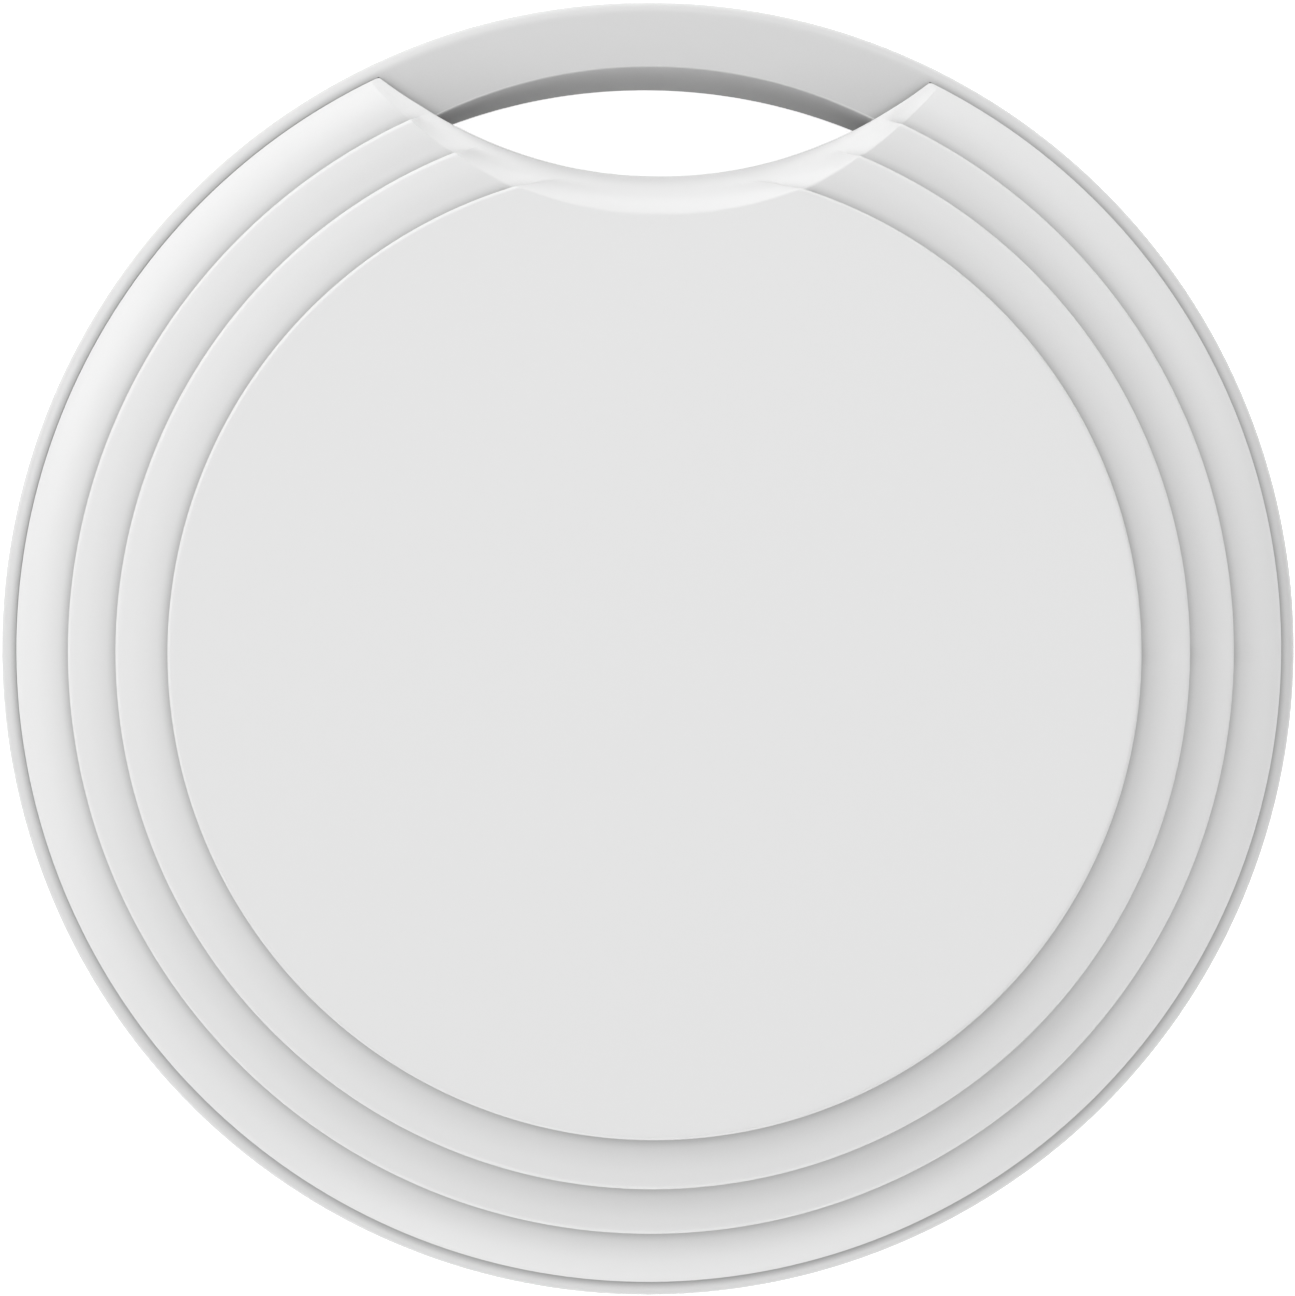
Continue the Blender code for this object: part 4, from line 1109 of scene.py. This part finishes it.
def build_cradle():
    shelf_top = cell_low.z - TOUCH
    sill = shelf_top + TOUCH
    shelf_inner = cradle_inner - CRADLE_SHELF
    base = [(shelf_inner, cradle_low.z), (cradle_outer, cradle_low.z), (cradle_outer, sill)]
    base += [(cradle_inner, sill), (cradle_inner, shelf_top), (shelf_inner, shelf_top)]
    piece = Piece()
    piece.turned(base, cell_centre, CELL_SEGMENTS, ring=True)
    for side in (1, -1):
        sections = [(wall_sector(side, 0), shelf_top)]
        for across, rise in quarter(CRADLE_ROUND)[::-1]:
            sections.append((wall_sector(side, CRADLE_ROUND - across), cradle_high.z - rise))
        piece.capped(sections)
    piece.finish("cell_cradle", "battery_cradle", "black_plastic", "black_plastic")


def soft_path(path, bend):
    """A path with its corners rounded."""
    points = [path[0]]
    for before, corner, after in zip(path, path[1:], path[2:]):
        here = Vector(corner)
        into = Vector(before) - here
        out = Vector(after) - here
        reach = min(bend, into.length / 2, out.length / 2)
        start = here + into.normalized() * reach
        end = here + out.normalized() * reach
        for step in range(ROUND_STEPS + 1):
            share = step / ROUND_STEPS
            point = start * (1 - share) ** 2 + here * 2 * share * (1 - share) + end * share**2
            points.append(tuple(point))
    return points + [path[-1]]


def strip_outline(path, thickness):
    """The two sides of a strip whose middle line is the path."""
    left = []
    right = []
    for i, point in enumerate(path):
        here = Vector(point)
        into = here - Vector(path[max(i - 1, 0)])
        out = Vector(path[min(i + 1, len(path) - 1)]) - here
        along = (into.normalized() + out.normalized()).normalized()
        side = Vector((-along.y, along.x)) * thickness / 2
        left.append(tuple(here + side))
        right.append(tuple(here - side))
    return left + right[::-1]


def bent_strip(name, node, path, thickness, width, place, angle):
    """A sprung strip: the path is drawn in X and Z, and its width lies along Y."""
    soft = soft_path(path, STRIP_BEND)
    sections = chamfered(
        lambda inset: strip_outline(soft, thickness - 2 * inset), -width / 2, width / 2, STRIP_EDGE
    )
    piece = Piece()
    piece.capped(sections)
    stand = Matrix.Rotation(math.pi / 2, 4, "X")
    turn = Matrix.Rotation(angle, 4, "Z")
    piece.move(Matrix.Translation((*place, 0)) @ turn @ stand)
    piece.finish(name, node, "spring_steel", "nickel")


def build_contacts():
    """Sprung contacts for the cell's side and underside, and for the sounder."""
    half = CONTACT_THICKNESS / 2
    foot = board_top + TOUCH + half
    stand = cradle_outer + CONTACT_SET_BACK
    path = [
        (stand + CONTACT_FOOT, foot),
        (stand, foot),
        (stand, board_top + CONTACT_BEND_HEIGHT),
        (cell_radius + TOUCH + half, board_top + CONTACT_TOUCH_HEIGHT),
        (cell_radius + CONTACT_TIP_OUT, board_top + CONTACT_TIP_HEIGHT),
    ]
    for side, angle in (("right", 0), ("left", math.pi)):
        names = (f"side_spring_{side}", f"positive_contact_{side}")
        bent_strip(*names, path, CONTACT_THICKNESS, CONTACT_WIDTH, cell_centre, angle)
    crest = node_box("battery_cap")[0].z - TOUCH - half
    path = [(-NEGATIVE_FOOT, foot), (-NEGATIVE_KNEE, foot), (-NEGATIVE_CREST, crest)]
    path += [(NEGATIVE_CREST, crest), (NEGATIVE_KNEE, foot)]
    names = ("under_spring", "negative_contact")
    bent_strip(*names, path, CONTACT_THICKNESS, NEGATIVE_WIDTH, cell_centre, 0)
    half = LEAF_THICKNESS / 2
    hung = board_bottom - TOUCH - half
    for name, angle, ring, target in SOUNDER_LEAVES:
        low = node_box(target)[1].z + TOUCH + half
        path = [(-LEAF_REACH - LEAF_FOOT, hung), (-LEAF_REACH, hung)]
        path += [(0, low), (LEAF_TAIL, low + LEAF_TAIL / 2)]
        x, y = on_ring(ring, angle)
        place = (sounder_centre[0] + x, sounder_centre[1] + y)
        names = (f"leaf_{name}", f"piezo_contact_{name}")
        bent_strip(*names, path, LEAF_THICKNESS, LEAF_WIDTH, place, angle + math.pi / 2)


def switch_outline(inset=0.0):
    """Outline of the switch: a rectangle with rounded corners."""
    x = (switch_high.x - switch_low.x) / 2 - SWITCH_CORNER
    y = (switch_high.y - switch_low.y) / 2 - SWITCH_CORNER
    points = []
    for turn, (side_x, side_y) in enumerate(((1, 1), (-1, 1), (-1, -1), (1, -1))):
        centre = (switch_centre[0] + side_x * x, switch_centre[1] + side_y * y)
        start = turn * math.pi / 2
        points += arc(centre, SWITCH_CORNER - inset, start, (turn + 1) * math.pi / 2, ROUND_STEPS)
    return points


def build_switch():
    """Push switch: a base with a well, a steel cover and a plunger."""
    base = Piece()
    rows = base.stack(chamfered(switch_outline, switch_low.z, switch_high.z, SWITCH_EDGE))
    well = base.wall(WELL_RADIUS, switch_high.z, switch_low.z + SWITCH_FLOOR, switch_centre)
    base.fill(rows[0])
    base.fill(rows[-1], well[0])
    base.fill(well[1])
    base.paint(0)
    across = half_width("switch_base") - TERMINAL_DEPTH / 2 + TERMINAL_PROUD
    along = (switch_high.y - switch_low.y) * TERMINAL_SHARE
    for side in (-1, 1):
        for end in (-1, 1):
            place = (switch_centre[0] + side * across, switch_centre[1] + end * along, switch_low.z)
            base.block((TERMINAL_DEPTH, TERMINAL_WIDTH, TERMINAL_HEIGHT), place, SWITCH_EDGE)
    base.paint(1)
    base.finish("switch_housing", "switch_base", "black_plastic", "black_plastic", "tin")
    low, high = node_box("switch_cover")
    flat = high.z - SHEET_ROUND
    plate = Piece()
    sections = [(switch_outline(), low.z), (switch_outline(), flat), (switch_outline(SHEET_ROUND), high.z)]
    rows = plate.stack(sections)
    profile = [(PLATE_HOLE, low.z), (PLATE_HOLE, flat), (PLATE_HOLE + SHEET_ROUND, high.z)]
    hole = plate.spun(profile, switch_centre)
    for end in (0, -1):
        plate.fill(rows[end], hole[end])
    plate.finish("switch_plate", "switch_cover", "crystal_can", "lid_steel")
    flange_top = low.z - TOUCH
    low, high = node_box("switch_plunger")
    profile = rounded_disc(half_width("switch_plunger"), low.z, flange_top, PLUNGER_EDGE)[:-1]
    profile.append((PLUNGER_RADIUS, flange_top))
    profile += upper_edge(PLUNGER_RADIUS, high.z, PLUNGER_ROUND)
    names = ("switch_button", "switch_plunger", "black_plastic")
    turned_piece(names, "black_plastic", profile, switch_centre, SMALL_SEGMENTS, body="plunger")


def build_dome():
    """Sprung dome in its rest shape; the real one flattens under the plunger."""
    low, high = node_box("switch_dome")
    radius = half_width("switch_dome")
    rise = high.z - low.z - DOME_THICKNESS
    ball = (radius**2 + rise**2) / (2 * rise)
    under = []
    for station in range(1, DOME_STATIONS + 1):
        across = radius * station / DOME_STATIONS
        under.append((across, low.z + rise - ball + math.sqrt(ball**2 - across**2)))
    over = [(across, height + DOME_THICKNESS) for across, height in under]
    names = ("switch_spring", "switch_dome", "spring_steel")
    dome = turned_piece(names, "nickel", over + under[::-1], switch_centre, SMALL_SEGMENTS)
    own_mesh(dome)


def build_part(name, node, slot, finishes, layers, mark=0):
    """A part on the board: a layer of blocks for each finish, and a mark at its first corner."""
    piece = Piece()
    for index, blocks in enumerate(layers):
        for block in blocks:
            piece.block(*block)
        piece.paint(index)
    if mark:
        length, _, top = PART_SIZES[node]
        corner = length / 2 - MARK_INSET * mark
        dot = rounded_disc(MARK_RADIUS * mark, top - MARK_HEIGHT, top + MARK_HEIGHT / 2, MARK_HEIGHT / 2)
        piece.turned(dot, (-corner, corner))
        piece.paint(len(layers))
    place = Matrix.Translation((*middle_of(node), node_box(node)[0].z))
    piece.move(place @ Matrix.Rotation(part_turn(node), 4, "Z"))
    piece.finish(name, node, slot, *finishes)


def both_ends(length, end, depth, height, bevel):
    """Blocks that cap the two ends of a part."""
    return [((end, depth, height), (side * (length / 2 - end / 2), 0, 0), bevel) for side in (-1, 1)]


def build_radio_chip():
    """Square chip with lands along its four sides and a mark at its first corner."""
    side, _, height = PART_SIZES["radio_chip"]
    body = side - 2 * LEAD_PROUD
    leads = []
    for turn in range(4):
        angle = turn * math.pi / 2
        for number in range(CHIP_LEADS):
            along = (number - (CHIP_LEADS - 1) / 2) * LEAD_PITCH
            spot = Matrix.Rotation(angle, 4, "Z") @ Vector((along, (side - LEAD_LENGTH) / 2, 0))
            leads.append(((LEAD_WIDTH, LEAD_LENGTH, LEAD_HEIGHT), spot, 0, angle))
    layers = [[((body, body, height), (0, 0, 0), CHIP_EDGE)], leads]
    build_part("radio_package", "radio_chip", "chip_epoxy", ["epoxy", "tin", "marking"], layers, mark=1)


def build_antenna():
    """Ceramic bar with plated ends and a plated zigzag."""
    length, depth, height = PART_SIZES["chip_antenna"]
    bar = [((length - 2 * PLATING, depth - 2 * PLATING, height - PLATING), (0, 0, 0), CHIP_EDGE)]
    plated = both_ends(length, END_CAP, depth, height, CHIP_EDGE)
    span = length - 4 * END_CAP
    pitch = span / (ZIGZAG_BARS - 1)
    reach = depth * ZIGZAG_REACH
    for number in range(ZIGZAG_BARS):
        x = number * pitch - span / 2
        plated.append(((ZIGZAG_WIDTH, reach, PLATING), (x, 0, height - PLATING)))
        if number:
            y = (1 if number % 2 else -1) * (reach - ZIGZAG_WIDTH) / 2
            plated.append(((pitch, ZIGZAG_WIDTH, PLATING), (x - pitch / 2, y, height - PLATING)))
    finishes = ["pale_ceramic", "tin"]
    build_part("antenna_bar", "chip_antenna", "pale_ceramic", finishes, [bar, plated])


def build_crystals():
    """Ceramic trays with a steel lid."""
    for node in ("main_crystal", "clock_crystal"):
        length, depth, height = PART_SIZES[node]
        rim = height * TRAY_SHARE
        tray = [((length, depth, rim), (0, 0, 0), CHIP_EDGE)]
        size = (length - 2 * LID_INSET, depth - 2 * LID_INSET, height * (1 - TRAY_SHARE) + LID_SINK)
        lid = [(size, (0, 0, rim - LID_SINK), LID_ROUND, 0.0, SOFT_BEVEL_STEPS)]
        build_part(f"{node}_package", node, "crystal_can", ["pale_ceramic", "lid_steel"], [tray, lid])


def build_inductor():
    """Moulded ferrite block with plated ends."""
    length, depth, height = PART_SIZES["boost_inductor"]
    size = (length - 2 * PLATING, depth, height)
    core = [(size, (0, 0, 0), FERRITE_EDGE, 0.0, SOFT_BEVEL_STEPS)]
    caps = both_ends(length, END_CAP, depth * FERRITE_CAP, height * FERRITE_CAP / 2, CHIP_EDGE)
    build_part("inductor_block", "boost_inductor", "chip_epoxy", ["ferrite", "tin"], [core, caps])


def build_driver():
    """Moulded chip with six bent legs."""
    length, depth, height = PART_SIZES["driver_chip"]
    body_depth = depth - 2 * LEG_REACH
    body = [((length, body_depth, height - LEG_STAND), (0, 0, LEG_STAND), CHIP_EDGE)]
    legs = []
    for side in (-1, 1):
        for number in (-1, 0, 1):
            x = number * LEG_PITCH
            upright = side * (body_depth / 2 + LEG_THICKNESS / 2)
            legs.append(((LEG_WIDTH, LEG_THICKNESS, height / 2), (x, upright, 0)))
            flat = side * (depth / 2 - LEG_REACH / 2)
            legs.append(((LEG_WIDTH, LEG_REACH, LEG_THICKNESS), (x, flat, 0)))
    build_part("driver_package", "driver_chip", "chip_epoxy", ["epoxy", "tin"], [body, legs])


def build_sensor():
    """Chip on a thin carrier, with a mark at its first corner."""
    length, depth, height = PART_SIZES["motion_sensor"]
    carrier = [((length, depth, CARRIER_HEIGHT), (0, 0, 0))]
    chip = [((length, depth, height - CARRIER_HEIGHT), (0, 0, CARRIER_HEIGHT), CHIP_EDGE)]
    finishes = ["solder_mask", "epoxy", "marking"]
    build_part("sensor_package", "motion_sensor", "chip_epoxy", finishes, [carrier, chip], SENSOR_MARK)


def build_small_parts():
    """Capacitors and resistors: a body between two plated ends, with a film on the resistors."""
    kinds = (
        ("capacitor", "brown_ceramic", ["brown_ceramic", "tin"]),
        ("resistor", "chip_epoxy", ["pale_ceramic", "tin", "epoxy"]),
    )
    for kind, slot, finishes in kinds:
        for node, (length, depth, height) in board_nodes((kind,)):
            size = (length - SMALL_END, depth - 2 * SMALL_PROUD, height - 2 * SMALL_PROUD)
            body = [(size, (0, 0, SMALL_PROUD), SMALL_EDGE)]
            ends = both_ends(length, SMALL_END, depth, height, SMALL_EDGE)
            size = (length - 2 * SMALL_END, depth - 4 * SMALL_PROUD, SMALL_PROUD)
            film = [(size, (0, 0, height - SMALL_PROUD))]
            build_part(f"{node}_body", node, slot, finishes, [body, ends, film][: len(finishes)])


def make_camera():
    data = bpy.data.cameras.new("camera")
    data.lens = CAMERA_LENS
    data.shift_x, data.shift_y = CAMERA_SHIFT
    data.clip_start = NEAREST_SEEN * MM
    camera = placed("camera", data)
    back = Vector(CAMERA_PLACE).normalized()
    right = Vector((math.sin(CAMERA_ROLL), math.cos(CAMERA_ROLL), 0)).cross(back).normalized()
    turn = Matrix((right, back.cross(right), back)).transposed().to_4x4()
    camera.matrix_world = Matrix.Translation(aim + Vector(CAMERA_PLACE) * MM) @ turn
    bpy.context.scene.camera = camera


def seen_directly(tree):
    """A socket that is 1 for the camera's own rays and for those that metal and glass send on."""
    path = tree.nodes.new("ShaderNodeLightPath")
    result = path.outputs["Is Camera Ray"]
    for kind in ("Is Glossy Ray", "Is Transmission Ray"):
        result = add_node(tree, "Math", 0, {0: result, 1: path.outputs[kind]}, operation="MAXIMUM")
    return result


def make_floor():
    """A pale floor that the camera sees as white, apart from the tag's shadow."""
    bpy.ops.mesh.primitive_plane_add(size=FLOOR_SIZE * MM, location=(0, 0, -FLOOR_DROP * MM))
    floor = bpy.context.object
    floor.name = "floor"
    material = bpy.data.materials.new("floor")
    material.use_nodes = True
    tree = material.node_tree
    looks = {
        "Base Color": FLOOR_COLOUR,
        "Roughness": FLOOR_ROUGHNESS,
        "Emission Color": WHITE,
        "Emission Strength": add_node(
            tree, "Math", 0, {0: seen_directly(tree), 1: FLOOR_GLOW}, operation="MULTIPLY"
        ),
    }
    put(tree, tree.nodes["Principled BSDF"], looks)
    floor.data.materials.append(material)


def make_world():
    world = bpy.data.worlds.new("studio")
    bpy.context.scene.world = world
    world.use_nodes = True
    tree = world.node_tree
    inputs = {"To Min": WORLD_STRENGTH, "To Max": 1.0, "Value": seen_directly(tree)}
    strength = add_node(tree, "MapRange", "Result", inputs)
    put(tree, tree.nodes["Background"], {"Color": WHITE, "Strength": strength})


def make_lamps():
    for name, around, above, power in LAMPS:
        data = bpy.data.lights.new(name, "AREA")
        data.shape = "DISK"
        data.size = LAMP_SIZE * MM
        data.energy = power
        lamp = placed(name, data)
        flat = on_ring(math.cos(math.radians(above)), math.radians(around))
        lamp.location = Vector((*flat, math.sin(math.radians(above)))) * LAMP_DISTANCE * MM
        lamp.rotation_euler = (lamp.location - aim).to_track_quat("Z", "Y").to_euler()


build_front_cover()
build_rear_cover()
build_seal()
build_foam_pad()
build_sounder()
build_board()
build_board_copper()
build_screws()
build_cell()
build_cradle()
build_contacts()
build_switch()
build_dome()
build_radio_chip()
build_antenna()
build_crystals()
build_inductor()
build_driver()
build_sensor()
build_small_parts()
make_camera()
make_floor()
make_world()
make_lamps()
bpy.context.scene.view_settings.view_transform = "Standard"
